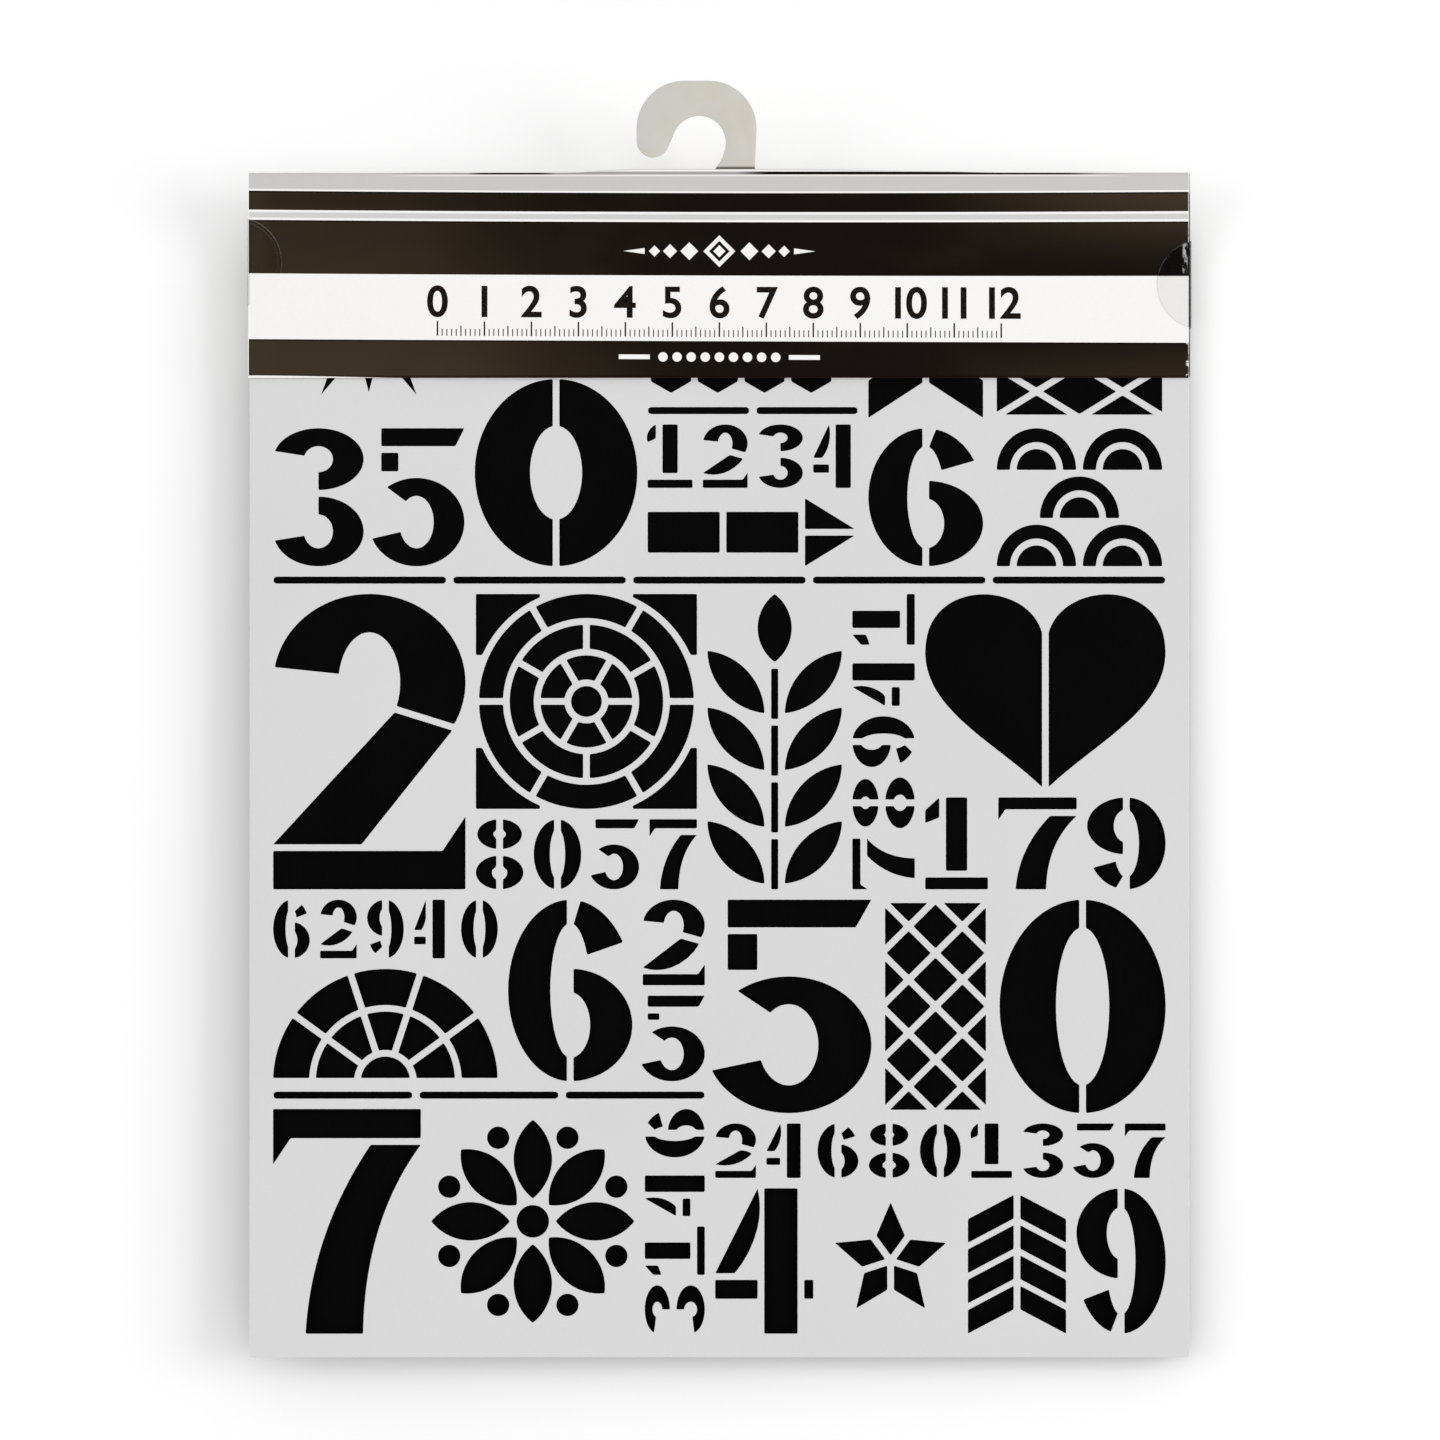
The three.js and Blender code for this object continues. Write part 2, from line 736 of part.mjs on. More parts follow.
// The corners are put on a fine grid, so that faces that are meant to be flush are exactly so
function asSolid(geometry) {
  const bare = geometry.clone();
  bare.deleteAttribute("normal");
  bare.deleteAttribute("uv");
  const merged = mergeVertices(bare);
  const corners = merged.attributes.position.array;
  return new wasm.Manifold(new wasm.Mesh({
    numProp: 3,
    vertProperties: corners.map((value) => Math.round(value / CORNER_GRID) * CORNER_GRID),
    triVerts: new Uint32Array(merged.index.array),
  }));
}

function asGeometry(solid) {
  const { vertProperties, triVerts } = solid.getMesh();
  const geometry = new THREE.BufferGeometry();
  geometry.setAttribute("position", new THREE.BufferAttribute(vertProperties, 3));
  geometry.setIndex(new THREE.BufferAttribute(triVerts, 1));
  geometry.computeVertexNormals();
  return geometry;
}

function sheetOutline() {
  const left = packCentre - SHEET_WIDTH / 2;
  return new THREE.Shape(bar(left, sheetBottom, left + SHEET_WIDTH, sheetTop));
}

// The cut-outs are punched together, by a tool that passes through both faces of the sheet
function stencilSheet() {
  const outlines = cutField(SHEET_WIDTH - 2 * FIELD_MARGIN, SHEET_HEIGHT - 2 * FIELD_MARGIN);
  const left = packCentre - SHEET_WIDTH / 2 + FIELD_MARGIN;
  const placed = move(outlines, left, sheetBottom + FIELD_MARGIN);
  const shapes = placed.map((outline) => new THREE.Shape(outline));
  const punch = new THREE.ExtrudeGeometry(shapes, { depth: 3 * SHEET_THICKNESS, bevelEnabled: false });
  punch.translate(0, 0, -SHEET_THICKNESS);
  const sheet = flatPiece("stencil_sheet", sheetOutline(), SHEET_THICKNESS, sheetBack, sheetPlastic);
  sheet.geometry = asGeometry(asSolid(sheet.geometry).subtract(asSolid(punch)));
  return sheet;
}

function backingCard() {
  return flatPiece("backing_card", sheetOutline(), BACKING_THICKNESS, backingBack, blackCard);
}

// What the slit opens: the whole fold between its ends
function slitCut() {
  const depth = 4 * foldRadius;
  const cut = new THREE.BoxGeometry(slitRight - slitLeft, 2 * foldRadius, depth);
  cut.translate(neckCentre, slitFloor + foldRadius, -(headerFront + headerBack) / 2);
  return cut;
}

// One edge of the slit, sprung up straight in line with its panel into a long low arch
function slitLip(rise, back) {
  const shoulder = headerTop - HEADER_THICKNESS;
  const crown = point(neckCentre, 2 * (headerTop + rise) - shoulder);
  const arch = new THREE.QuadraticBezierCurve(point(slitRight, shoulder), crown, point(slitLeft, shoulder));
  const shape = new THREE.Shape([
    point(slitLeft, slitFloor),
    point(slitRight, slitFloor),
    ...arch.getPoints(LIP_STEPS),
  ]);
  const lip = new THREE.ExtrudeGeometry(shape, { depth: HEADER_THICKNESS, bevelEnabled: false });
  lip.translate(0, 0, -back);
  return asSolid(lip);
}

// The header is one card bent over a round fold, seen here from its side with the back to the right
function headerCard() {
  const middle = (pocketFront + pocketBack) / 2;
  const profile = new THREE.Shape([
    point(headerBack, headerBottom),
    ...arc(middle, foldLine, foldRadius, foldRadius, 0, HALF, FOLD_CHORD_ERROR),
    point(headerFront, headerBottom),
    point(pocketFront, headerBottom),
    ...arc(middle, foldLine, pocketRadius, pocketRadius, HALF, 0, FOLD_CHORD_ERROR),
    point(pocketBack, headerBottom),
  ]);
  const card = new THREE.ExtrudeGeometry(profile, { depth: 2 * headerHalfWidth, bevelEnabled: false });
  card.rotateY(QUARTER);
  card.translate(packCentre - headerHalfWidth, 0, 0);
  const opened = asSolid(card).subtract(asSolid(slitCut()));
  const frontLip = slitLip(FRONT_LIP_RISE, pocketFront);
  const backLip = slitLip(backLipRise, headerBack);
  return mesh("header_card", asGeometry(opened.add(frontLip).add(backLip)), printedCard);
}

// The hook runs from its round tip over the crest and down the stem to the neck and base. A straight
// piece joins the tip to the round inside that takes the peg, and touches both.
function hangerHook() {
  const pegLevel = -PEG_RADIUS;
  const tipLevel = pegLevel + TIP_LIFT;
  const tipReach = PEG_RADIUS + TIP_GAP + TIP_RADIUS;
  const tipCentre = -Math.sqrt(tipReach ** 2 - TIP_LIFT ** 2);
  const tipTouch = Math.atan2(TIP_LIFT, tipCentre) - Math.acos((PEG_RADIUS + TIP_RADIUS) / tipReach);
  const tipLeft = tipCentre - TIP_RADIUS;
  const shoulderLevel = CREST_WIDTH - SHOULDER_RADIUS;
  const baseLeft = neckCentre - BASE_WIDTH / 2;
  const baseRight = neckCentre + BASE_WIDTH / 2;
  const shape = new THREE.Shape();
  shape.moveTo(neckRight, headerTop);
  shape.lineTo(stemRight, shoulderLevel);
  shape.absarc(stemRight - SHOULDER_RADIUS, shoulderLevel, SHOULDER_RADIUS, 0, QUARTER, false);
  shape.absarc(tipLeft + SHOULDER_RADIUS, shoulderLevel, SHOULDER_RADIUS, QUARTER, HALF, false);
  shape.absarc(tipCentre, tipLevel, TIP_RADIUS, HALF, HALF + tipTouch, false);
  shape.absarc(0, pegLevel, PEG_RADIUS, tipTouch, 0, true);
  shape.quadraticCurveTo(PEG_RADIUS, (pegLevel + headerTop) / 2, neckLeft, headerTop);
  shape.lineTo(neckLeft, baseTop);
  shape.lineTo(baseLeft + BASE_CORNER, baseTop);
  shape.absarc(baseLeft + BASE_CORNER, baseTop - BASE_CORNER, BASE_CORNER, QUARTER, HALF, false);
  shape.absarc(baseLeft + BASE_CORNER, baseBottom + BASE_CORNER, BASE_CORNER, HALF, 3 * QUARTER, false);
  shape.absarc(baseRight - BASE_CORNER, baseBottom + BASE_CORNER, BASE_CORNER, -QUARTER, 0, false);
  shape.absarc(baseRight - BASE_CORNER, baseTop - BASE_CORNER, BASE_CORNER, 0, QUARTER, false);
  shape.lineTo(neckRight, baseTop);
  return flatPiece("hanger_hook", shape, HANGER_THICKNESS, hangerBack, hookPlastic);
}

function hangerTape() {
  const halfWidth = BASE_WIDTH / 2 - TAPE_MARGIN;
  const shape = new THREE.Shape(bar(
    neckCentre - halfWidth,
    baseBottom + TAPE_MARGIN,
    neckCentre + halfWidth,
    baseTop - TAPE_MARGIN,
  ));
  return flatPiece("hanger_tape", shape, TAPE_THICKNESS, tapeBack, adhesiveTape);
}

// Columns across a round seal, from its front rim to its back rim. Each has its place across the
// flat disc, the point of the card that it lies on, and the way out from the card there.
function sealColumns() {
  const radius = SEAL_DIAMETER / 2;
  const edge = headerHalfWidth;
  const frontFold = SEAL_FRONT_REACH - radius;
  const backFold = frontFold + headerBack - headerFront;
  const places = [];
  for (let i = 0; i < SEAL_COLUMNS; i += 1) {
    places.push(-radius * Math.cos((i + 0.5) * HALF / SEAL_COLUMNS));
  }
  const front = places.filter((place) => place < frontFold - SEAL_THICKNESS);
  const back = places.filter((place) => place > backFold + SEAL_THICKNESS);
  return [
    ...front.map((place) => ({ place, x: edge + place - frontFold, y: headerFront, out: [0, -1] })),
    { place: frontFold, x: edge, y: headerFront, out: [1, -1] },
    { place: backFold, x: edge, y: headerBack, out: [1, 1] },
    ...back.map((place) => ({ place, x: edge + backFold - place, y: headerBack, out: [0, 1] })),
  ];
}

// A round film bent round the header's edge: each column has its glued and its outer face, top and foot
function roundSeal(name, side, drop) {
  const columns = sealColumns();
  const positions = [];
  for (const { place, x, y, out } of columns) {
    const half = Math.sqrt((SEAL_DIAMETER / 2) ** 2 - place ** 2);
    for (const lift of [GLUE_LINE, GLUE_LINE + SEAL_THICKNESS]) {
      for (const rise of [half, -half]) {
        const beside = packCentre + side * (x + lift * out[0]);
        positions.push(beside, headerTop - drop + rise, -(y + lift * out[1]));
      }
    }
  }
  const quads = [[0, 1, 3, 2]];
  for (let i = 0; i + 1 < columns.length; i += 1) {
    const a = 4 * i;
    const b = a + 4;
    quads.push([a + 2, a + 3, b + 3, b + 2], [a, b, b + 1, a + 1]);
    quads.push([a, a + 2, b + 2, b], [a + 1, b + 1, b + 3, a + 3]);
  }
  const last = 4 * (columns.length - 1);
  quads.push([last, last + 2, last + 3, last + 1]);
  const turnedOut = side > 0 ? quads : quads.map((quad) => quad.toReversed());
  const geometry = new THREE.BufferGeometry();
  geometry.setAttribute("position", new THREE.Float32BufferAttribute(positions, 3));
  geometry.setIndex(turnedOut.flatMap(([a, b, c, d]) => [a, b, c, a, c, d]));
  geometry.computeVertexNormals();
  return mesh(name, geometry, clearFilm);
}

// The pieces are drawn as seen from the front, and the pack is then stood up along Z
const pack = new THREE.Group();
pack.rotation.x = QUARTER;
pack.add(
  headerCard(),
  hangerHook(),
  hangerTape(),
  roundSeal("seal_left", -1, LEFT_SEAL_DROP),
  roundSeal("seal_right", 1, RIGHT_SEAL_DROP),
  stencilSheet(),
  backingCard(),
);

export default pack;
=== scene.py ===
import math

import bmesh
import bpy
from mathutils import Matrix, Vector


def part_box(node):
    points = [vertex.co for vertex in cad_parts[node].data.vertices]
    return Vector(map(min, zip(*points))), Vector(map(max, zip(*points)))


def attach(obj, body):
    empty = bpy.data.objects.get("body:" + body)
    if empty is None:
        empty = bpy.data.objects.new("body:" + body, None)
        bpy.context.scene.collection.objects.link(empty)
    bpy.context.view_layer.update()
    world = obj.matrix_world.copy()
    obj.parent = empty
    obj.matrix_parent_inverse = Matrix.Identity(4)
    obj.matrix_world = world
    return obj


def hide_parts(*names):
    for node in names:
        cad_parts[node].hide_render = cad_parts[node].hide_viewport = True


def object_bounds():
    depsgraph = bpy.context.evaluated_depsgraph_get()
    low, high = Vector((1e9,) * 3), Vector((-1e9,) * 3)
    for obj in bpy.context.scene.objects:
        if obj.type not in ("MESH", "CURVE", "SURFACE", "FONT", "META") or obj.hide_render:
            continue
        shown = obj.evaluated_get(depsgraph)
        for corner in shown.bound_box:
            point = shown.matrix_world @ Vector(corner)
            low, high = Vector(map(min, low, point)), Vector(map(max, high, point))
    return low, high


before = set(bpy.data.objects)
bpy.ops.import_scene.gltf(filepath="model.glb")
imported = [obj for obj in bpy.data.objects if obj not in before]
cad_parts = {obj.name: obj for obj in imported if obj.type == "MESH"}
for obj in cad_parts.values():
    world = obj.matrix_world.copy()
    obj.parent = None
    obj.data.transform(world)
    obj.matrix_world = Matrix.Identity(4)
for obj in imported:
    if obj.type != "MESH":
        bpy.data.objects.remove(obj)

bl_info = {
    "name": "Stencil hang pack",
    "version": (1, 0, 0),
    "blender": (4, 5, 0),
    "location": "View3D > Sidebar > Stencil",
    "description": "Dresses a cut plastic stencil in its folded header card, on a black backing card",
    "category": "Object",
}

MM = 0.001
CAD_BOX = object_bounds()

HEADER_LOW, HEADER_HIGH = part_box("header_card")
SHEET_LOW, SHEET_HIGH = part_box("stencil_sheet")
CARD_LOW, CARD_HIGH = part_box("backing_card")
HEADER_WIDTH = HEADER_HIGH.x - HEADER_LOW.x
PACK_MIDDLE = (HEADER_LOW.x + HEADER_HIGH.x) / 2

# The frame's axes: across the pack, through it to the back, and up.
ACROSS, THROUGH, UP = range(3)
# Vertices closer than this are one, and a cut this close to a line is on it.
SAME_POINT = 0.001 * MM
# Points of the cut sheet closer than this are merged, so that no hair-thin face or gap is left in it.
NEAR_POINT = 0.02 * MM
# Edges that turn by less than this stay smooth in the shading.
SMOOTH_ANGLE = math.radians(32)
# Edges that turn by more than this are rounded.
EDGE_ANGLE = math.radians(50)
# The sheets lie flat in the header and this far below it.
HELD_FLAT = 6 * MM
# The printed scale is marked in centimetres.
CENTIMETRE = 10 * MM
# Half the soft border of a printed mark, in millimetres.
PRINT_SOFT = 0.03
WHITE = (1, 1, 1, 1)


def linear(red, green, blue):
    """A colour in linear light from the 0 to 255 values that a screen shows."""
    def channel(value):
        share = value / 255
        return share / 12.92 if share <= 0.04045 else ((share + 0.055) / 1.055) ** 2.4
    return (channel(red), channel(green), channel(blue))


def length(name, description, millimetres):
    """A size in the panel, given in millimetres and kept in metres."""
    return bpy.props.FloatProperty(
        name=name, description=description, default=millimetres * MM, precision=5, unit="LENGTH"
    )


def share(name, description, value):
    """A share from none to all."""
    return bpy.props.FloatProperty(
        name=name, description=description, default=value, min=0, max=1, subtype="FACTOR"
    )


def colour(name, description, red, green, blue):
    """A colour in the panel."""
    return bpy.props.FloatVectorProperty(
        name=name, description=description, default=linear(red, green, blue), min=0, max=1, subtype="COLOR"
    )


def position(name, description, across, through, up):
    """A place in the panel, in metres."""
    return bpy.props.FloatVectorProperty(
        name=name, description=description, default=(across, through, up),
        subtype="TRANSLATION", unit="LENGTH",
    )


class SheetSettings(bpy.types.PropertyGroup):
    """The cut plastic sheet."""
    corner: length("Cut corner", "How far from a corner the cutter starts to round it", 0.35)
    # The cut edge carries a painted highlight: its Edge colour is brighter than the plastic.
    cut_edge: length("Cut edge", "Width of the bright edge that the cutter leaves", 0.07)
    lift: length("Lift", "How far the free lower edge stands off the card", 1.1)
    corner_curl: share("Corner curl", "How much of the lift only the lower corners have", 0.3)
    row: length("Row", "Height of the strips that let the sheet bow", 9)
    column: length("Column", "Width of the strips that let the sheet bow", 18)
    plastic: colour("Plastic", "Colour of the sheet", 220, 220, 220)
    edge: colour("Edge", "Colour of the cut edge", 246, 246, 246)


class CardSettings(bpy.types.PropertyGroup):
    """The black backing card."""
    corner: length("Corner", "Radius of the card's corners", 0.5)
    soft_edge: length("Soft edge", "Rounding of the pressed edge", 0.08)
    lean: length("Lean", "How far the free lower edge leans back", 0.9)
    row: length("Row", "Height of the strips that let the card bow", 9)
    column: length("Column", "Width of the strips that let the card bow", 36)
    gloss: share("Gloss", "Shine of the card's calendered front", 0.04)
    rough_gloss: share("Rough gloss", "Shine of the card's rougher back", 0.2)
    board: colour("Board", "Black of the card's calendered front", 6, 6, 6)
    rough_board: colour("Rough board", "Black of the card's rougher back", 27, 26, 25)
    fibre: colour("Fibre", "Colour of the worn fibres on the edge", 38, 36, 35)


class HeaderSettings(bpy.types.PropertyGroup):
    """The folded header card and its print."""
    board: length("Board", "Thickness of the card", 0.3)
    lip_rise: length("Lip rise", "How far the front edge of the slit stands over the fold", 0.9)
    lip_spring: share("Lip spring", "How far the front edge of the slit straightens", 0.6)
    lip_left: length("Lip left", "Where the sprung lips start, from the middle of the hook's neck", -29)
    lip_right: length("Lip right", "Where the sprung lips end, from the middle of the hook's neck", 72)
    lip_left_free: length("Lip left free", "Where the left lips have sprung fully", -11.6)
    lip_right_free: length("Lip right free", "Where the right lips have sprung fully", 14.4)
    slit_reach: length("Slit reach", "Half the length of the slit", 69.55)
    slit_ease: length("Slit ease", "How far from its ends the slit takes to open", 13.91)
    front_drop: length("Front drop", "How much lower the front panel ends than the back panel", 0.36)
    gape: length("Gape", "How far the front panel's lower edge bows out", 0.55)
    gape_held: length("Gape held", "How far in from its sides the front panel is held flat", 9)
    gape_free: length("Gape free", "How far in from its sides the front panel is free to bow", 70)
    ripple: length("Ripple", "Height of the faint ripples in the front panel", 0.05)
    column: length("Column", "Width of the card's strips beside the slit", 3)
    slit_column: length("Slit column", "Width of the card's strips along the slit", 2.2)
    row: length("Row", "Height of the panels' strips", 3.5)
    fold_row: length("Fold row", "Height of the strips round the fold", 0.3)
    trim: length("Trim", "How far the front panel's right edge is cut back from the back panel's", 0.32)
    bare_line: length("Bare line", "Width of the bare card along the front panel's sides", 0.16)
    sliver: length("Sliver", "Height of the bare card under the print at the lower left corner", 0.5)
    grey_strip: length("Grey strip", "Depth of the strip along the fold", 3.9)
    strip_line: length("Strip line", "Width of the white line under the grey strip", 0.39)
    rule_top: length("Rule top", "Depth at which the pale rule starts", 7.95)
    rule_bottom: length("Rule bottom", "Depth at which the pale rule ends", 10.1)
    rule_line: length("Rule line", "Width of the white line on each side of the pale rule", 0.5)
    panel_top: length("Panel top", "Depth at which the white panel starts", 21.5)
    panel_bottom: length("Panel bottom", "Depth at which the white panel ends", 35.5)
    panel_margin: length("Panel margin", "How far the white panel on the back is from the card's sides", 9)
    print_bow: length("Print bow", "How far the print sags at the middle of the fold", 0.45)
    print_tilt: length("Print tilt", "Half the drop of the print's lower right corner", 0.46)
    fold_tilt: share("Fold tilt", "How much of its tilt the print already has at the fold", 0.2)
    scale_length: length("Scale length", "Length of the printed scale", 120)
    scale_rise: length("Scale rise", "How far the scale stands over the white panel's foot", 0.9)
    figure_rise: length("Figure rise", "How far the figures stand over the white panel's foot", 5.1)
    figure_height: length("Figure height", "Height of the figures on the scale", 6.7)
    figure_weight: length("Figure weight", "How much bolder than plain the figures are", 0.17)
    figure_relief: length("Figure relief", "How far the figures' ink stands off the card", 0.012)
    paper: colour("Paper", "Colour of the unprinted face", 249, 247, 245)
    ink: colour("Ink", "Black of the print", 15, 8, 5)
    # Sheen is the colour of a painted warm reflection on the black print; random mottle is also tinted with
    # it.
    sheen: colour("Sheen", "Black of the print where it has browned", 60, 49, 36)
    grey: colour("Grey", "Colour of the strip along the fold", 204, 202, 200)
    rule: colour("Rule", "Colour inside the pale rule", 211, 210, 208)
    core: colour("Core", "Colour of the card under its white face", 228, 209, 184)


class HookSettings(bpy.types.PropertyGroup):
    """The flat plastic hook."""
    soft_edge: length("Soft edge", "Rounding of the hook's edges", 0.16)
    plastic: colour("Plastic", "Colour of the hook", 206, 203, 197)
    yellowed: colour("Yellowed", "Colour of the hook's warmer patches", 203, 199, 187)
    # The hook's foot colour is painted shade where the hook comes out of the slit.
    grime: colour("Grime", "Colour of the hook's foot, where it rubs on the slit", 96, 93, 84)


class SealSettings(bpy.types.PropertyGroup):
    """The clear round seals."""
    diameter: length("Diameter", "Width of a seal before it is wrapped", 19)
    film: length("Film", "Thickness of the film", 0.1)
    glue: length("Glue", "Gap between film and card", 0.02)
    front_reach: length("Front reach", "How far a seal reaches over the front panel", 7.2)
    left_drop: length("Left drop", "Depth of the left seal's middle below the fold", 19.1)
    right_drop: length("Right drop", "Depth of the right seal's middle below the fold", 23.9)
    bend: length("Bend", "Radius at which the film goes round an edge", 0.3)
    dent: length("Dent", "How far the film sinks into the header's open edge", 0.1)
    bend_row: length("Bend row", "Width of the film's strips round a bend", 0.08)
    edge_row: length("Edge row", "Width of the film's strips over the open edge", 0.4)
    face_row: length("Face row", "Width of the film's strips on the panels", 1.2)
    left_hold: share("Left hold", "How closely the left seal holds to the card", 0.05)
    right_hold: share("Right hold", "How closely the right seal holds to the card", 0.75)
    # The creasing shares set how strong the painted highlights on a seal's creases are.
    left_creasing: share("Left creasing", "How much the left seal has creased", 0)
    right_creasing: share("Right creasing", "How much the right seal has creased", 0.8)
    tint: colour("Tint", "Tint of the film", 10, 7, 6)
    # Glint is the colour of the painted highlights on the film's creases and rim.
    glint: colour("Glint", "Colour of the film's creases", 250, 250, 250)


class TapeSettings(bpy.types.PropertyGroup):
    """The tape behind the hook's base."""
    tissue: colour("Tissue", "Colour of the tape", 214, 207, 186)


class StageSettings(bpy.types.PropertyGroup):
    """The white wall and floor, the light and the camera."""
    wall_gap: length("Wall gap", "Room between the pack's upper right corner and the wall", 1)
    wall_left: length("Wall left", "How much more room there is at the pack's left edge", 5)
    wall_foot: length("Wall foot", "How much more room there is at the pack's lower edge", 2)
    wall_sweep: length("Wall sweep", "How far the wall sweeps back over the pack", 36)
    sweep_low: length("Sweep low", "How far under the fold the wall starts to sweep back", 26)
    sweep_high: length("Sweep high", "How far over the fold the wall stops sweeping back", 44)
    sweep_row: length("Sweep row", "Height of the wall's strips where it sweeps back", 3)
    floor_drop: length("Floor drop", "How far the floor lies under the pack", 60)
    cove: length("Cove", "Radius between wall and floor", 30)
    reach: length("Reach", "Size of the wall and the floor", 1600)
    distance: length("Camera distance", "How far the camera stands from the pack", 2000)
    view_width: length("View width", "Width that the camera sees at the pack", 306.6)
    view_side: length("View side", "Where the middle of the view is, to the right of the peg", 4.44)
    view_drop: length("View drop", "How far the middle of the view is below the peg", 128.7)
    daylight: share("Daylight", "Light that comes from all round", 0.74)
    key: share("Key", "Light that comes from the soft box on the right", 0.19)
    side_fill: share("Side fill", "Light that comes from the soft box on the left", 0.08)
    back_fill: share("Back fill", "Light that comes from the soft box behind", 0.15)
    box_size: length("Box size", "Width of a soft box", 1400)
    right_box: position("Right box", "Where the right soft box is, from the pack's middle", 2.2, -1.6, 0.2)
    left_box: position("Left box", "Where the left soft box is, from the pack's middle", -2.2, -1.6, 0.2)
    back_box: position("Back box", "Where the soft box behind is, from the pack's middle", -0.8, 2.5, 1.2)
    glow: share("Glow", "How much paler than lit the wall and floor look to the camera", 0.04)
    floor_glow: share("Floor glow", "How much paler still a face that looks up looks to the camera", 0.06)


class PackSettings(bpy.types.PropertyGroup):
    """All the settings of the pack."""
    sheet: bpy.props.PointerProperty(type=SheetSettings)
    card: bpy.props.PointerProperty(type=CardSettings)
    header: bpy.props.PointerProperty(type=HeaderSettings)
    hook: bpy.props.PointerProperty(type=HookSettings)
    seal: bpy.props.PointerProperty(type=SealSettings)
    tape: bpy.props.PointerProperty(type=TapeSettings)
    stage: bpy.props.PointerProperty(type=StageSettings)


# Shader values as Python expressions
class Signal:
    """A node's output that Python's operators work on: each adds a Math node."""

    def __init__(self, finish, socket):
        self.finish = finish
        self.socket = socket

    def math(self, operation, first, second=0.0):
        return self.finish.node("ShaderNodeMath", {"operation": operation}, {0: first, 1: second})

    def __add__(self, other):
        return self.math("ADD", self, other)

    __radd__ = __add__

    def __sub__(self, other):
        return self.math("SUBTRACT", self, other)

    def __rsub__(self, other):
        return self.math("SUBTRACT", other, self)

    def __mul__(self, other):
        return self.math("MULTIPLY", self, other)

    __rmul__ = __mul__

    def __truediv__(self, other):
        return self.math("DIVIDE", self, other)

    def __mod__(self, other):
        return self.math("FLOORED_MODULO", self, other)

    def __abs__(self):
        return self.math("ABSOLUTE", self)

    def __lt__(self, other):
        return self.math("LESS_THAN", self, other)

    def most(self, other):
        return self.math("MAXIMUM", self, other)

    def least(self, other):
        return self.math("MINIMUM", self, other)

    def rise(self, start, end, low=0.0, high=1.0):
        """Goes smoothly from low to high while the value goes from start to end."""
        return self.finish.node(
            "ShaderNodeMapRange",
            {"interpolation_type": "SMOOTHSTEP", "clamp": True},
            {"Value": self, 1: start, 2: end, 3: low, 4: high},
        )

    def past(self, line, soft=PRINT_SOFT):
        """A mask that is 1 past a line."""
        return self.rise(line - soft, line + soft)

    def between(self, start, end, soft=PRINT_SOFT):
        """A mask that is 1 from start to end."""
        return self.past(start, soft) * (1 - self.past(end, soft))


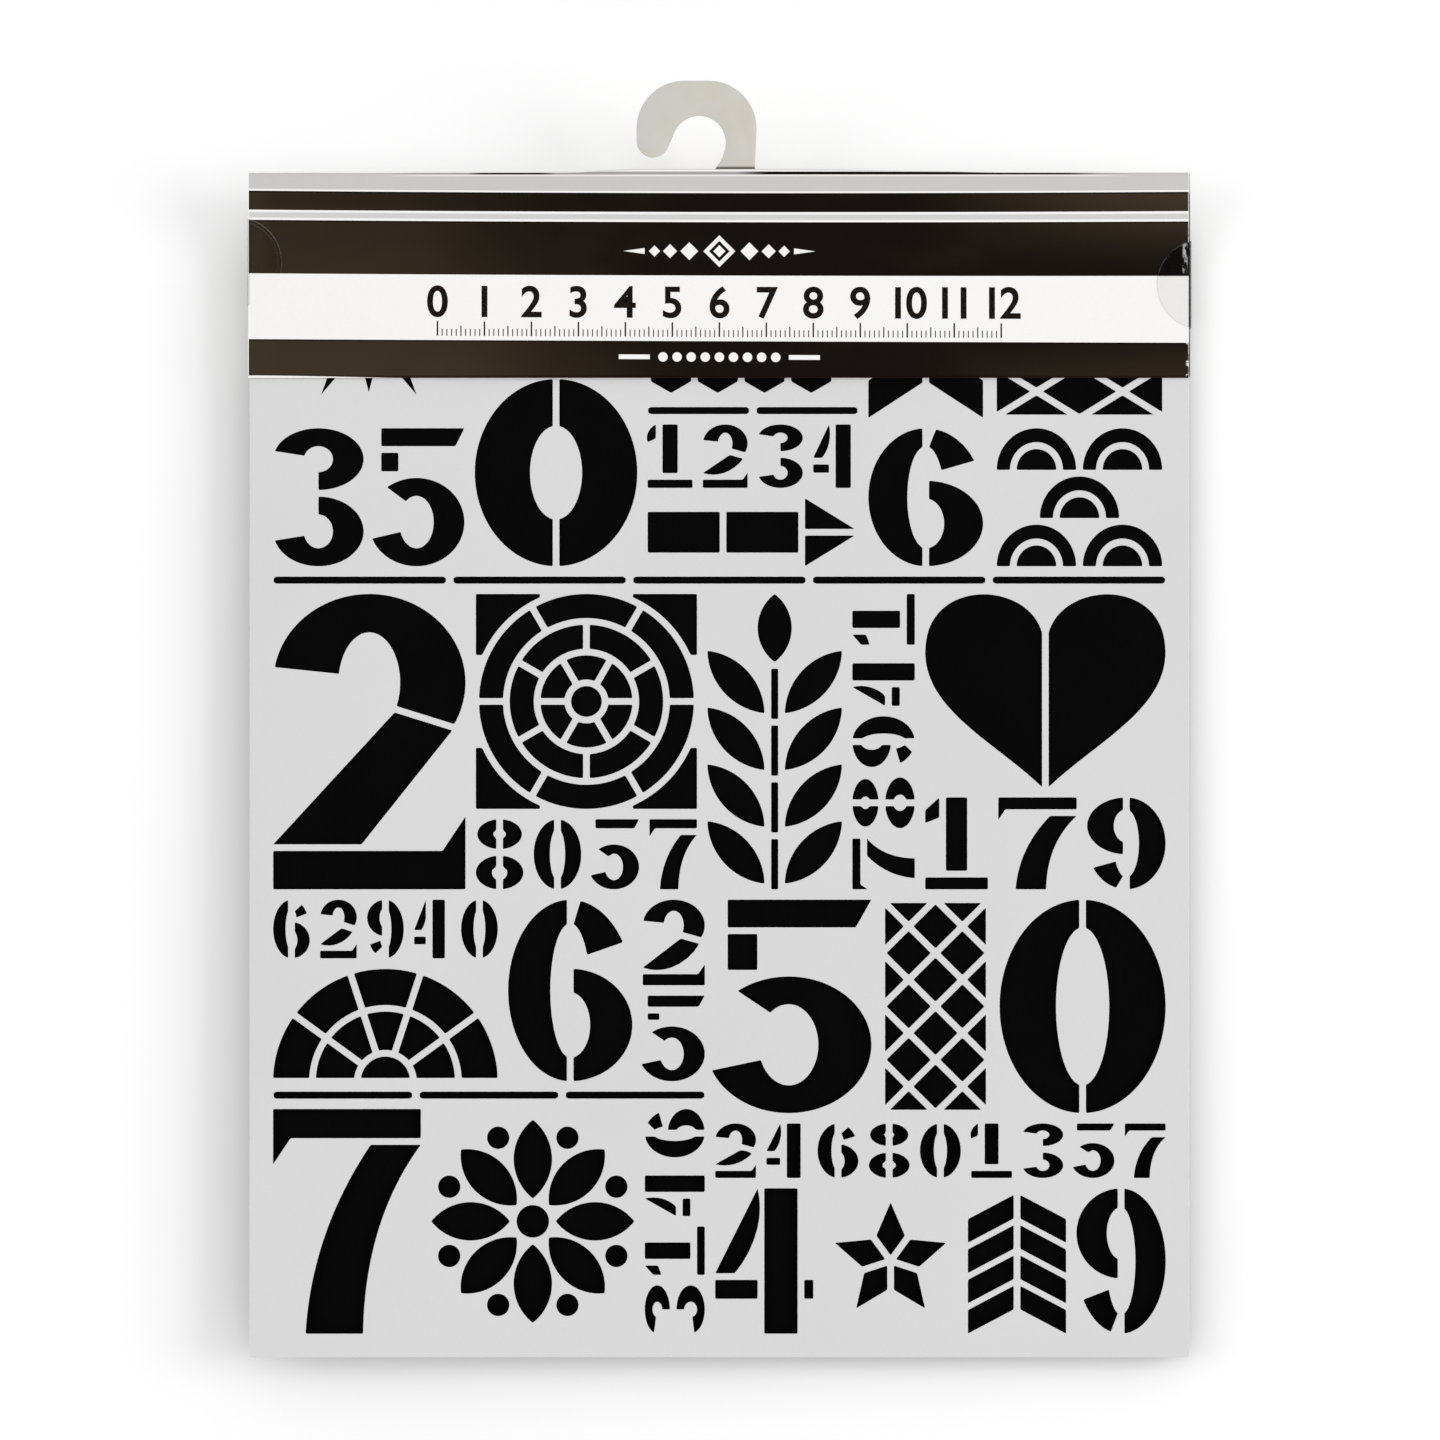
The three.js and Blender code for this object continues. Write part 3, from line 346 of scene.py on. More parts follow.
class Finish:
    """A material, or the sky, whose nodes are written as expressions."""

    def __init__(self, name, library="materials"):
        self.block = getattr(bpy.data, library).new(name)
        self.block.use_nodes = True
        self.tree = self.block.node_tree
        self.tree.nodes.clear()

    def node(self, kind, settings=None, sockets=None, output=0):
        """A new node with its settings made and its sockets set or linked, as one of its outputs."""
        made = self.tree.nodes.new(kind)
        for key, value in (settings or {}).items():
            setattr(made, key, value)
        for key, value in (sockets or {}).items():
            if isinstance(value, Signal):
                self.tree.links.new(value.socket, made.inputs[key])
            else:
                made.inputs[key].default_value = value
        return Signal(self, made.outputs[output])

    def place(self):
        """The point on the piece, in millimetres."""
        point = self.node("ShaderNodeTexCoord", output="Object")
        return self.node("ShaderNodeVectorMath", {"operation": "SCALE"}, {0: point, "Scale": 1 / MM})

    def part(self, vector, axis):
        """The part of a vector along one of the frame's axes."""
        return self.node("ShaderNodeSeparateXYZ", {}, {0: vector}, output=axis)

    def stretched(self, vector, scale):
        """The vector with each of its parts multiplied."""
        return self.node("ShaderNodeVectorMath", {"operation": "MULTIPLY"}, {0: vector, 1: scale})

    def noise(self, vector, scale, detail=3.0, roughness=0.5):
        """Noise with about so many grains to a millimetre."""
        sockets = {"Vector": vector, "Scale": scale, "Detail": detail, "Roughness": roughness}
        return self.node("ShaderNodeTexNoise", {}, sockets)

    def specks(self, vector, spacing, radius, kept):
        """Dots of about a radius, on average a spacing apart, of which a share is kept."""
        cells = self.node("ShaderNodeTexVoronoi", {}, {"Vector": vector, "Scale": 1 / spacing})
        outputs = cells.socket.node.outputs
        chance = self.node("ShaderNodeSeparateColor", {}, {0: Signal(self, outputs["Color"])})
        near = 1 - cells.rise(0.6 * radius / spacing, radius / spacing)
        return near * (chance < kept)

    def attribute(self, name):
        """A value that the piece's mesh keeps at its vertices."""
        return self.node("ShaderNodeAttribute", {"attribute_name": name}, output="Fac")

    def seen(self):
        """1 for what the camera sees, also in a reflection or through film, and 0 for light."""
        seen = self.node("ShaderNodeLightPath", output="Is Camera Ray")
        for name in ("Is Glossy Ray", "Is Transmission Ray"):
            seen = seen.most(self.node("ShaderNodeLightPath", output=name))
        return seen

    def mix(self, factor, first, second):
        """A colour between two colours."""
        def opaque(value):
            return value if isinstance(value, Signal) else (*value[:3], 1.0)
        settings = {"data_type": "RGBA"}
        sockets = {0: factor, 6: opaque(first), 7: opaque(second)}
        return self.node("ShaderNodeMix", settings, sockets, output=2)

    def bump(self, height, depth):
        """A normal for a height from 0 to 1 that stands for a depth in metres."""
        return self.node("ShaderNodeBump", {}, {"Strength": 1.0, "Distance": depth, "Height": height})

    def shade(self, **sockets):
        """Ends the material in one Principled shader, with the sockets named in words."""
        named = {}
        for words, value in sockets.items():
            named[words.replace("_", " ").title().replace("Ior", "IOR")] = value
        self.surface(self.node("ShaderNodeBsdfPrincipled", {}, named))
        return self.block

    def surface(self, shader, kind="ShaderNodeOutputMaterial"):
        """Links a shader to the output."""
        output = self.tree.nodes.new(kind)
        self.tree.links.new(shader.socket, output.inputs["Surface"])


# Places that several pieces share
def fold_top(header):
    """The height of the header's fold, under the sprung lips of its slit."""
    return HEADER_HIGH.z - header.lip_rise


def neck_middle():
    """The middle of the hook's neck where it comes out of the fold."""
    reach = 3 * MM
    corners = [vertex.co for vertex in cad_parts["hanger_hook"].data.vertices]
    near = [corner.x for corner in corners if abs(corner.z - HEADER_HIGH.z) < reach]
    return (min(near) + max(near)) / 2


def free_share(z, foot):
    """How far down its free part a sheet is at a height: 0 where it is held flat, and 1 at its foot."""
    free = HEADER_LOW.z - HELD_FLAT
    return max(0.0, (free - z) / (free - foot))


def print_depth(header, across, depth):
    """How deep in the print a point is: the print sags along the fold and drops to the right."""
    side = across / (HEADER_WIDTH / 2 / MM)
    fall = depth / ((HEADER_HIGH.z - HEADER_LOW.z) / MM)
    bow = header.print_bow / MM * (1 - fall)
    tilt = header.print_tilt / MM * (header.fold_tilt + (1 - header.fold_tilt) * fall)
    return depth - bow * (1 - side * side) - tilt * (1 + side)


class PrintedCard:
    """Places on the header and the borders of its print, in millimetres from its middle and its fold."""

    def __init__(self, finish, header):
        self.point = finish.place()
        self.across = finish.part(self.point, ACROSS) - PACK_MIDDLE / MM
        self.through = finish.part(self.point, THROUGH)
        self.up = finish.part(self.point, UP)
        self.front = self.through < 0.0
        self.depth = fold_top(header) / MM - self.up
        self.printed = print_depth(header, self.across, self.depth)
        self.strip = header.grey_strip / MM
        self.rule_top = header.rule_top / MM
        self.rule_bottom = header.rule_bottom / MM
        self.panel_top = header.panel_top / MM
        self.panel_bottom = header.panel_bottom / MM
        self.foot = (fold_top(header) - HEADER_LOW.z + header.front_drop) / MM
        self.half = HEADER_WIDTH / 2 / MM
        self.right = self.half - header.trim / MM
        self.bare = header.bare_line / MM


# Finishes, whose patterns are in millimetres
def stencil_plastic(settings):
    """Smooth satin film with a faint haze and hair-fine rub marks."""
    finish = Finish("stencil plastic")
    point = finish.place()
    haze = finish.noise(point, 0.012, 2.0)
    grain = finish.noise(point, 2.2, 3.0)
    rubs = finish.noise(finish.stretched(point, (0.05, 0.05, 1.9)), 0.6, 4.0, 0.65)
    tone = haze.rise(0.3, 0.7) * 0.5 + grain.rise(0.35, 0.65) * 0.3 + rubs.rise(0.62, 0.72) * 0.2
    shade = [channel * 0.955 for channel in settings.plastic]
    base = finish.mix(tone, shade, settings.plastic)
    rough = 0.4 + haze * 0.1 + rubs.rise(0.6, 0.72) * 0.12
    normal = finish.bump(grain, 0.004 * MM)
    return finish.shade(base_color=base, roughness=rough, normal=normal, specular_ior_level=0.3)


def cut_edge(settings):
    """The melted edge of a cut, glossier than the face and painted brighter than it as a highlight."""
    finish = Finish("cut edge")
    melt = finish.noise(finish.place(), 1.4, 3.0)
    base = finish.mix(melt.rise(0.3, 0.7), settings.plastic, settings.edge)
    return finish.shade(base_color=base, roughness=0.2 + melt * 0.2, specular_ior_level=0.5)


def black_board(settings, name, board, gloss):
    """Dyed matte board: fibres that run up the card, and pale ones on its worn edges."""
    finish = Finish(name)
    point = finish.place()
    fibres = finish.noise(finish.stretched(point, (1.0, 1.0, 0.16)), 2.4, 5.0, 0.6)
    cloud = finish.noise(point, 0.05, 3.0)
    from_middle = abs(finish.part(point, ACROSS) - (CARD_LOW.x + CARD_HIGH.x) / 2 / MM)
    past_side = from_middle - (CARD_HIGH.x - CARD_LOW.x) / 2 / MM
    past_foot = CARD_LOW.z / MM - finish.part(point, UP)
    worn = past_side.most(past_foot).rise(-0.5, 0.0) * fibres.rise(0.45, 0.62)
    lint = finish.specks(point, 9.0, 0.16, 0.22)
    dark = [channel * 0.45 for channel in board]
    base = finish.mix(fibres.rise(0.35, 0.7) * 0.6 + cloud.rise(0.4, 0.7) * 0.4, dark, board)
    base = finish.mix(worn.most(lint * 0.35), base, settings.fibre)
    rough = 0.78 + fibres * 0.16
    normal = finish.bump(fibres, 0.03 * MM)
    return finish.shade(base_color=base, roughness=rough, normal=normal, specular_ior_level=gloss)


def scale_marks(card, settings):
    """Ticks of a centimetre scale, long at each centimetre and half long at each five millimetres."""
    reach = settings.scale_length / MM / 2
    start = card.across + reach
    height = card.panel_bottom - settings.scale_rise / MM - card.printed
    span = card.across.between(-reach - 0.2, reach + 0.2, 0.01)

    def ticks(pitch, tall, thick):
        near = abs((start + pitch / 2) % pitch - pitch / 2)
        return (1 - near.past(thick / 2)) * height.between(0, tall)

    return ticks(1.0, 1.5, 0.22).most(ticks(5.0, 2.2, 0.26)).most(ticks(10.0, 3.1, 0.34)) * span


def diamond_row(card, middle):
    """A hollow diamond between smaller ones, with a pointed rule on each side."""
    down = abs(card.printed - middle)
    out = abs(card.across)

    def diamond(place, half):
        return 1 - (abs(out - place) + down).past(half, 0.05)

    marks = (diamond(0.0, 3.4) * (1 - diamond(0.0, 2.2))).most(diamond(0.0, 1.3))
    for place, half in ((6.4, 1.9), (10.5, 1.5), (13.8, 1.2)):
        marks = marks.most(diamond(place, half))
    rule_start = 15.9
    rule_tip = 20.4
    taper = (rule_tip - out) * 0.14
    rule = (1 - (down - taper).past(0.0, 0.04)) * out.between(rule_start, rule_tip)
    return marks.most(rule)


def dotted_row(card, middle):
    """A row of dots that ends in a dash on each side."""
    pitch = 3.0
    row_end = 4.5 * pitch
    near = abs((card.across + pitch / 2) % pitch - pitch / 2)
    down = abs(card.printed - middle)
    out = abs(card.across)
    dots = (near * near + down * down).rise(0.95, 1.07, 1.0, 0.0) * out.between(-1.0, row_end)
    dash = (1 - down.past(0.5, 0.04)) * out.between(row_end + 1.3, row_end + 7.9)
    return dots.most(dash)


def pale_bands(finish, card, settings):
    """The colours of the grey strip, the pale rule and the bare paper between the black bands."""
    border = settings.rule_line / MM
    under_strip = card.printed.past(card.strip - settings.strip_line / MM)
    pale = finish.mix(under_strip, settings.grey, settings.paper)
    rule = card.printed.between(card.rule_top + border, card.rule_bottom - border)
    return finish.mix(rule, pale, settings.rule)


def black_bands(card, settings):
    """A mask of the black bands, which on the back also close the white panel's ends."""
    upper = card.printed.between(card.strip, card.rule_top)
    middle = card.printed.between(card.rule_bottom, card.panel_top)
    lower = card.printed.past(card.panel_bottom)
    ends = abs(card.across).past(card.half - settings.panel_margin / MM) * card.printed.past(card.panel_top)
    return upper.most(middle).most(lower).most(ends * (1 - card.front))


def aged_ink(finish, card, cloud, settings):
    """Black ink with a painted warm sheen towards both ends, and darker where a band starts, along the
    card's left and at its foot.
    """
    # Painted sheen: a warm reflection painted on the black, strongest at the left and the upper right, with
    # blotches.
    left_end = (card.across - card.depth * 0.5).rise(-98.0, -20.0, 0.95, 0.03)
    left_end = left_end * card.depth.rise(0.0, 44.0, 0.5, 1.0) + card.across.rise(-100.0, -94.0, 0.3, 0.0)
    right_end = card.depth.rise(4.0, 21.0, 0.95, 0.05) + card.depth.rise(34.0, 44.0, 0.0, 0.4)
    right_end = card.across.rise(34.0, 100.0) * right_end
    painted_sheen = left_end + right_end + cloud.rise(0.45, 0.75) * 0.12
    ink = finish.mix(painted_sheen.least(1.0), settings.ink, settings.sheen)
    # Darker lines, with no sheen, where a band starts, along the card's left and at its foot.
    darker_lines = card.depth.rise(card.foot - 0.5, card.foot - 0.4)
    for start in (card.strip, card.rule_bottom, card.panel_bottom):
        darker_lines = darker_lines.most(card.printed.between(start, start + 0.35))
    left = card.bare - card.half
    darker_lines = darker_lines.most(card.across.rise(left + 0.2, left + 0.4, 1.0, 0.0))
    return finish.mix(darker_lines * 0.7, ink, settings.ink)


def white_marks(card):
    """The ornaments left white in the black: diamonds over the white panel and dots under it."""
    over = (card.rule_bottom + card.panel_top) / 2 + 0.5
    under = card.panel_bottom + 3.4
    return diamond_row(card, over).most(dotted_row(card, under))


def rubbed_ink(finish, card, black):
    """A mask of the chips and the line that trimming left at the right edge, and of dust and lint on the
    black.
    """
    rub = finish.noise(card.point, 0.8, 4.0)
    chipped = card.across.rise(card.right - 0.8, card.right - 0.3) * rub.rise(0.53, 0.58)
    chipped = chipped * card.depth.rise(34.0, 35.0)
    line = card.right - card.bare
    trimmed = card.across.rise(line - 0.06, line) * rub.rise(0.3, 0.55, 0.1, 0.6)
    dust = finish.specks(card.point, 11.0, 0.2, 0.1)
    lint = finish.specks(finish.stretched(card.point, (0.4, 1.0, 1.0)), 21.0, 0.3, 0.14)
    return (chipped * 0.85).most(trimmed).most(dust * 0.5 * black).most(lint * 0.6 * black)


def unprinted_edge(card, settings):
    """A mask of the bare card along the front panel's left side, and in a sliver under the print there."""
    slant = card.across.rise(-card.half, -card.half + 42.0, settings.sliver / MM, -0.1)
    under = (card.depth - card.foot + slant).past(0.0, 0.05)
    left = card.bare - card.half
    return under.most(card.across.rise(left - 0.05, left, 1.0, 0.0))


def opened_fold(finish, card, base, settings):
    """The base colour with the slit's pale lip, a painted shadow line along the fold and a painted
    highlight under it.
    """
    neck = card.across - (neck_middle() - PACK_MIDDLE) / MM
    lip = card.depth.rise(-0.2, -0.14, 1.0, 0.0)
    opened = neck.between(-63.0, 88.0, 6.0)
    gaping = neck.between(-49.0, -31.0, 3.0).most(neck.between(9.0, 83.0, 6.0))
    # Painted shadow: a dark line along the fold where the slit opens, strongest where it gapes.
    slit_shadow = card.depth.between(-0.18, 0.46, 0.05) * (opened * 0.35).most(gaping)
    # Painted highlight: a white line just under the painted shadow.
    glint = card.depth.between(0.5, 0.85, 0.08) * opened
    from_slit = finish.attribute("from_slit") / MM
    # Painted shade on the card right at the slit's cut edges, beside the hook.
    cut = from_slit.rise(0.12, 0.16, 1.0, 0.0) * neck.between(-26.0, 40.0, 6.0)
    base = finish.mix(lip * card.front, base, settings.paper)
    base = finish.mix(glint * 0.75 * card.front, base, settings.paper)
    return finish.mix(slit_shadow.most(cut * 0.5) * card.front, base, settings.ink)


def header_print(settings):
    """Glossy bands of ink on white card, with a painted warm sheen on the black, dust, rubbed edges and an
    opened fold with painted shade and a painted highlight.
    """
    finish = Finish("header print")
    card = PrintedCard(finish, settings)
    mottle = finish.noise(card.point, 1.6, 4.0, 0.6)
    cloud = finish.noise(finish.stretched(card.point, (1.0, 1.0, 2.0)), 0.03, 3.0)
    black = black_bands(card, settings)
    worn = rubbed_ink(finish, card, black)
    base = finish.mix(black, pale_bands(finish, card, settings), aged_ink(finish, card, cloud, settings))
    base = finish.mix(white_marks(card) * card.front, base, settings.paper)
    base = finish.mix(scale_marks(card, settings) * card.front, base, settings.ink)
    base = finish.mix(worn.most(unprinted_edge(card, settings)) * card.front, base, settings.paper)
    base = finish.mix(mottle.rise(0.4, 0.75) * 0.02, base, settings.sheen)
    base = opened_fold(finish, card, base, settings)
    rough = 0.2 + cloud.rise(0.3, 0.7) * 0.12 + mottle * 0.06 + worn * 0.35
    normal = finish.bump(mottle * 0.4 + cloud, 0.02 * MM)
    return finish.shade(base_color=base, roughness=rough, normal=normal, specular_ior_level=0.04)


def board_inside(settings):
    """The card's bare inside, with painted shade along its right edge, where the gap between the panels
    shows.
    """
    finish = Finish("board inside")
    point = finish.place()
    fibres = finish.noise(finish.stretched(point, (0.3, 1.0, 1.0)), 2.0, 4.0, 0.6)
    edge = (HEADER_HIGH.x - settings.trim) / MM
    # Painted shade in the gap at the right edge: ink black, and tan along the grey strip.
    gap_shade = finish.part(point, ACROSS).rise(edge - 0.25, edge - 0.1)
    depth = fold_top(settings) / MM - finish.part(point, UP)
    bare = [channel * 0.93 for channel in settings.paper]
    base = finish.mix(fibres.rise(0.3, 0.7), bare, settings.paper)
    gap_shade_colour = finish.mix(depth.between(0.7, settings.grey_strip / MM + 0.4), settings.ink, settings.core)
    base = finish.mix(gap_shade * (0.8 + fibres * 0.2), base, gap_shade_colour)
    normal = finish.bump(fibres, 0.01 * MM)
    return finish.shade(base_color=base, roughness=0.85, normal=normal, specular_ior_level=0.2)


def board_core(settings):
    """The card's cut edge: pressed fibres in thin layers, darkened to the ink's black along the lower one.
    """
    finish = Finish("board core")
    point = finish.place()
    layers = finish.noise(point, 6.0, 4.0, 0.7)
    base = finish.mix(layers.rise(0.35, 0.65), settings.core, settings.paper)
    # Darker along the lower edge.
    lower_edge = finish.part(point, UP) < HEADER_LOW.z / MM + 0.1
    base = finish.mix(lower_edge * 0.9, base, settings.ink)
    normal = finish.bump(layers, 0.02 * MM)
    return finish.shade(base_color=base, roughness=0.9, normal=normal, specular_ior_level=0.15)


def figure_ink(settings):
    """The black of the scale's figures, a little uneven as printed ink is."""
    finish = Finish("figure ink")
    mottle = finish.noise(finish.place(), 3.0, 4.0, 0.6)
    base = finish.mix(mottle.rise(0.4, 0.7) * 0.4, settings.ink, settings.sheen)
    return finish.shade(base_color=base, roughness=0.22 + mottle * 0.1, specular_ior_level=0.04)


def hook_plastic(settings):
    """Die-cut satin plastic, warmer in patches, with fine specks in it and painted shade at its foot, just
    over the slit.
    """
    finish = Finish("hook plastic")
    point = finish.place()
    patches = finish.noise(point, 0.16, 2.0)
    grain = finish.noise(point, 5.0, 3.0)
    specks = finish.specks(point, 2.6, 0.14, 0.2)
    base = finish.mix(patches.rise(0.35, 0.7), settings.plastic, settings.yellowed)
    dirt = [channel * 0.8 for channel in settings.yellowed]
    base = finish.mix((specks * 0.3).most(grain.rise(0.55, 0.75) * 0.1), base, dirt)
    over_slit = finish.part(point, UP) - HEADER_HIGH.z / MM
    # Painted shade on the hook just over the slit.
    base = finish.mix(over_slit.rise(0.1, 0.6, 1.0, 0.0), base, settings.grime)
    rough = 0.42 + grain * 0.14
    normal = finish.bump(grain, 0.006 * MM)
    return finish.shade(base_color=base, roughness=rough, normal=normal, specular_ior_level=0.35)


def tape_tissue(settings):
    """Double-sided tape: crossed fibres under a tacky gloss."""
    finish = Finish("tape tissue")
    point = finish.place()
    along = finish.noise(finish.stretched(point, (0.15, 1.0, 1.0)), 2.0, 4.0)
    down = finish.noise(finish.stretched(point, (1.0, 1.0, 0.15)), 2.0, 4.0)
    fibres = along.most(down)
    pale = [min(1, channel * 1.2) for channel in settings.tissue]
    base = finish.mix(fibres.rise(0.45, 0.7), settings.tissue, pale)
    normal = finish.bump(fibres, 0.02 * MM)
    return finish.shade(base_color=base, roughness=0.35 + fibres * 0.2, normal=normal)


def seal_film(settings, header, edge, middle, hold, creasing):
    """Clear film that darkens the black bands that it holds to, with painted highlights on its lifted rim
    and on its creases, and painted shade where it turns round the front edge.
    """
    finish = Finish("seal film")
    card = PrintedCard(finish, header)
    panel = card.printed.between(card.panel_top, card.panel_bottom, 0.05) * card.front
    reach = finish.attribute("reach")
    # Painted highlights on the black: a pale line along the lifted rim, and one inside it where the film
    # has let go.
    rim = reach.rise(0.972, 0.986)
    rim_glints = rim.most(reach.between(0.908, 0.918, 0.008) * (1 - hold) ** 2)
    inward = abs(card.across - (edge - PACK_MIDDLE) / MM)
    crinkle = finish.noise(finish.stretched(card.point, (1.0, 1.0, 0.45)), 1.3, 4.0, 0.65)
    # Creased film near the edge, with painted highlights on its creases.
    pinched = inward.between(0.7, 1.6, 0.25) * (card.up - middle / MM).between(2.6, 8.6, 0.6)
    crease_glints = pinched * crinkle.rise(0.44, 0.56) * creasing
    patchy = finish.noise(card.point, 0.35, 2.0).rise(0.42, 0.6)
    white = crease_glints * 0.6 + rim_glints * (1 - panel) * (0.012 + patchy * 0.03)
    on_card = inward.rise(0.2, 0.4)
    dark = (panel * (0.04 + rim * 0.05) + (1 - panel)) * hold * on_card + (1 - on_card) * 0.1
    front = HEADER_LOW.y / MM
    # Painted shade where the film turns round the front edge.
    turned = inward.rise(0.3, 0.45, 1.0, 0.0) * card.through.rise(front + 0.2, front + 0.35, 1.0, 0.0)
    dark = dark.most(turned * hold * 0.6)
    alpha = white + dark * (1 - white)
    base = finish.mix(white / alpha, settings.tint, settings.glint)
    normal = finish.bump(crinkle, 0.03 * MM)
    material = finish.shade(
        base_color=base, alpha=alpha.least(1.0), normal=normal, roughness=0.15, specular_ior_level=0.05
    )
    material.surface_render_method = "BLENDED"
    return material


# Modelling helpers
def deselect_all():
    """Leaves edit mode with nothing selected."""
    if bpy.context.object and bpy.context.object.mode != "OBJECT":
        bpy.ops.object.mode_set(mode="OBJECT")
    bpy.ops.object.select_all(action="DESELECT")


def activate(piece):
    """Makes a piece the only one that operators act on."""
    deselect_all()
    piece.select_set(True)
    bpy.context.view_layer.objects.active = piece


def edit(piece):
    """Opens a piece in edit mode with all of it selected."""
    activate(piece)
    bpy.ops.object.mode_set(mode="EDIT")
    bpy.ops.mesh.select_mode(type="VERT")
    bpy.ops.mesh.select_all(action="SELECT")


def select_parts(piece, kind, wanted):
    """Selects the faces or edges of a piece in edit mode that a test picks."""
    bpy.ops.mesh.select_all(action="DESELECT")
    bpy.ops.mesh.select_mode(type=kind)
    mesh = bmesh.from_edit_mesh(piece.data)
    for part in mesh.faces if kind == "FACE" else mesh.edges:
        if wanted(part):
            part.select_set(True)
    bmesh.update_edit_mesh(piece.data)


def cut_strips(axis, places):
    """Cuts what is open in edit mode along planes across an axis."""
    for place in places:
        point = [0.0, 0.0, 0.0]
        point[axis] = place
        normal = [0.0, 0.0, 0.0]
        normal[axis] = 1.0
        bpy.ops.mesh.select_all(action="SELECT")
        bpy.ops.mesh.bisect(plane_co=point, plane_no=normal, threshold=SAME_POINT)


def steps(start, end, pitch):
    """Places about a pitch apart, between start and end and without them."""
    count = max(1, round((end - start) / pitch))
    return [start + (end - start) * index / count for index in range(1, count)]


def modify(piece, kind, **settings):
    """Adds a modifier and applies it."""
    activate(piece)
    modifier = piece.modifiers.new(kind.lower(), kind)
    for key, value in settings.items():
        setattr(modifier, key, value)
    bpy.ops.object.modifier_apply(modifier=modifier.name)


def soften(piece, width, segments):
    """Rounds the sharp edges of a piece."""
    modify(
        piece, "BEVEL", width=width, segments=segments, limit_method="ANGLE", angle_limit=EDGE_ANGLE
    )


def face_front(piece, wanted=lambda face: True):
    """Turns a sheet in edit mode so that the faces that a test picks look to the front."""
    bpy.ops.mesh.select_all(action="SELECT")
    bpy.ops.mesh.normals_make_consistent(inside=False)
    mesh = bmesh.from_edit_mesh(piece.data)
    if sum(face.normal.y for face in mesh.faces if wanted(face)) > 0:
        bpy.ops.mesh.flip_normals()


def shade_softly(piece):
    """Smooth shading, with the sharp edges kept."""
    activate(piece)
    bpy.ops.object.shade_smooth_by_angle(angle=SMOOTH_ANGLE)


def smooth_step(value, start, end):
    """Goes smoothly from 0 to 1 while the value goes from start to end."""
    part = min(1.0, max(0.0, (value - start) / (end - start)))
    return part * part * (3 - 2 * part)


def node_copy(node, name):
    """A new piece with a merged copy of a CAD node's mesh, open in edit mode."""
    piece = bpy.data.objects.new(name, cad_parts[node].data.copy())
    bpy.context.collection.objects.link(piece)
    edit(piece)
    bpy.ops.mesh.remove_doubles(threshold=SAME_POINT)
    return piece


def dress(piece, *materials):
    """Gives a piece its materials, in the order of its slots."""
    piece.data.materials.clear()
    for material in materials:
        piece.data.materials.append(material)


def settle(piece, body, slot, *nodes):
    """Ties a finished piece to its body and hides the CAD nodes that it stands for; the slot is not used.
    """
    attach(piece, body)
    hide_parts(*nodes)


# The sheet
def outlines(piece):
    """The closed outlines of a piece made only of edges, each as a list of points in order."""
    mesh = bmesh.new()
    mesh.from_mesh(piece.data)
    left = set(mesh.verts)
    loops = []
    for first in mesh.verts:
        if first not in left:
            continue
        loop = []
        vertex = first
        while vertex is not None:
            left.discard(vertex)
            loop.append(vertex.co.copy())
            ahead = [edge.other_vert(vertex) for edge in vertex.link_edges]
            vertex = next((other for other in ahead if other in left), None)
        loops.append(loop)
    mesh.free()
    return loops


def curved(loop):
    """An outline with one more point on each facet of a curve, out where the true curve runs."""
    # A curve turns by angles between these two, and its facets aren't this many times as long as the next.
    straight = math.radians(2)
    sharp = math.radians(45)
    longest = 1.5
    count = len(loop)
    sides = [loop[(index + 1) % count] - point for index, point in enumerate(loop)]
    turns = []
    for index, side in enumerate(sides):
        before = sides[index - 1]
        turns.append(math.atan2(before.x * side.z - before.z * side.x, before.dot(side)))
    points = []
    for index, point in enumerate(loop):
        points.append(point)
        following = (index + 1) % count
        ends = ((turns[index], sides[index - 1]), (turns[following], sides[following]))
        bends = [(turn, side.length) for turn, side in ends if straight < abs(turn) < sharp]
        side = sides[index]
        if not bends or side.length > longest * min(near for turn, near in bends):
            continue
        turn = min((turn for turn, near in bends), key=abs)
        out = Vector((side.z, 0, -side.x)) * math.tan(turn / 4) / 2
        points.append(point + side / 2 + out)
    return points


def rounded(loop, corner):
    """An outline with its sharp corners rounded, as a turning cutter leaves them."""
    # A corner turns by more than this, and its rounding takes up no more than this share of a side.
    sharp = math.radians(24)
    room = 0.42
    facets = 4
    points = []
    for index, point in enumerate(loop):
        back = loop[index - 1] - point
        ahead = loop[(index + 1) % len(loop)] - point
        if (-back).angle(ahead) < sharp:
            points.append(point)
            continue
        start = point + back.normalized() * min(corner, room * back.length)
        end = point + ahead.normalized() * min(corner, room * ahead.length)
        for step in range(facets + 1):
            part = step / facets
            near = start.lerp(point, part)
            far = point.lerp(end, part)
            points.append(near.lerp(far, part))
    return points


def signed_area(loop):
    """The area that an outline goes round, negative where it runs clockwise."""
    pairs = zip(loop, loop[1:] + loop[:1])
    return sum(point.x * ahead.z - ahead.x * point.z for point, ahead in pairs) / 2


def moved_left(loop, distance):
    """An outline moved to the left of the way it runs, with as many points."""
    # The point of a corner moves no further than one whose half turn has this cosine.
    sharpest = 0.5
    points = []
    for index, point in enumerate(loop):
        before = (point - loop[index - 1]).normalized()
        after = (loop[(index + 1) % len(loop)] - point).normalized()
        along = (before + after).normalized()
        left = Vector((-along.z, 0, along.x))
        points.append(point + left * distance / max(sharpest, along.dot(after)))
    return points


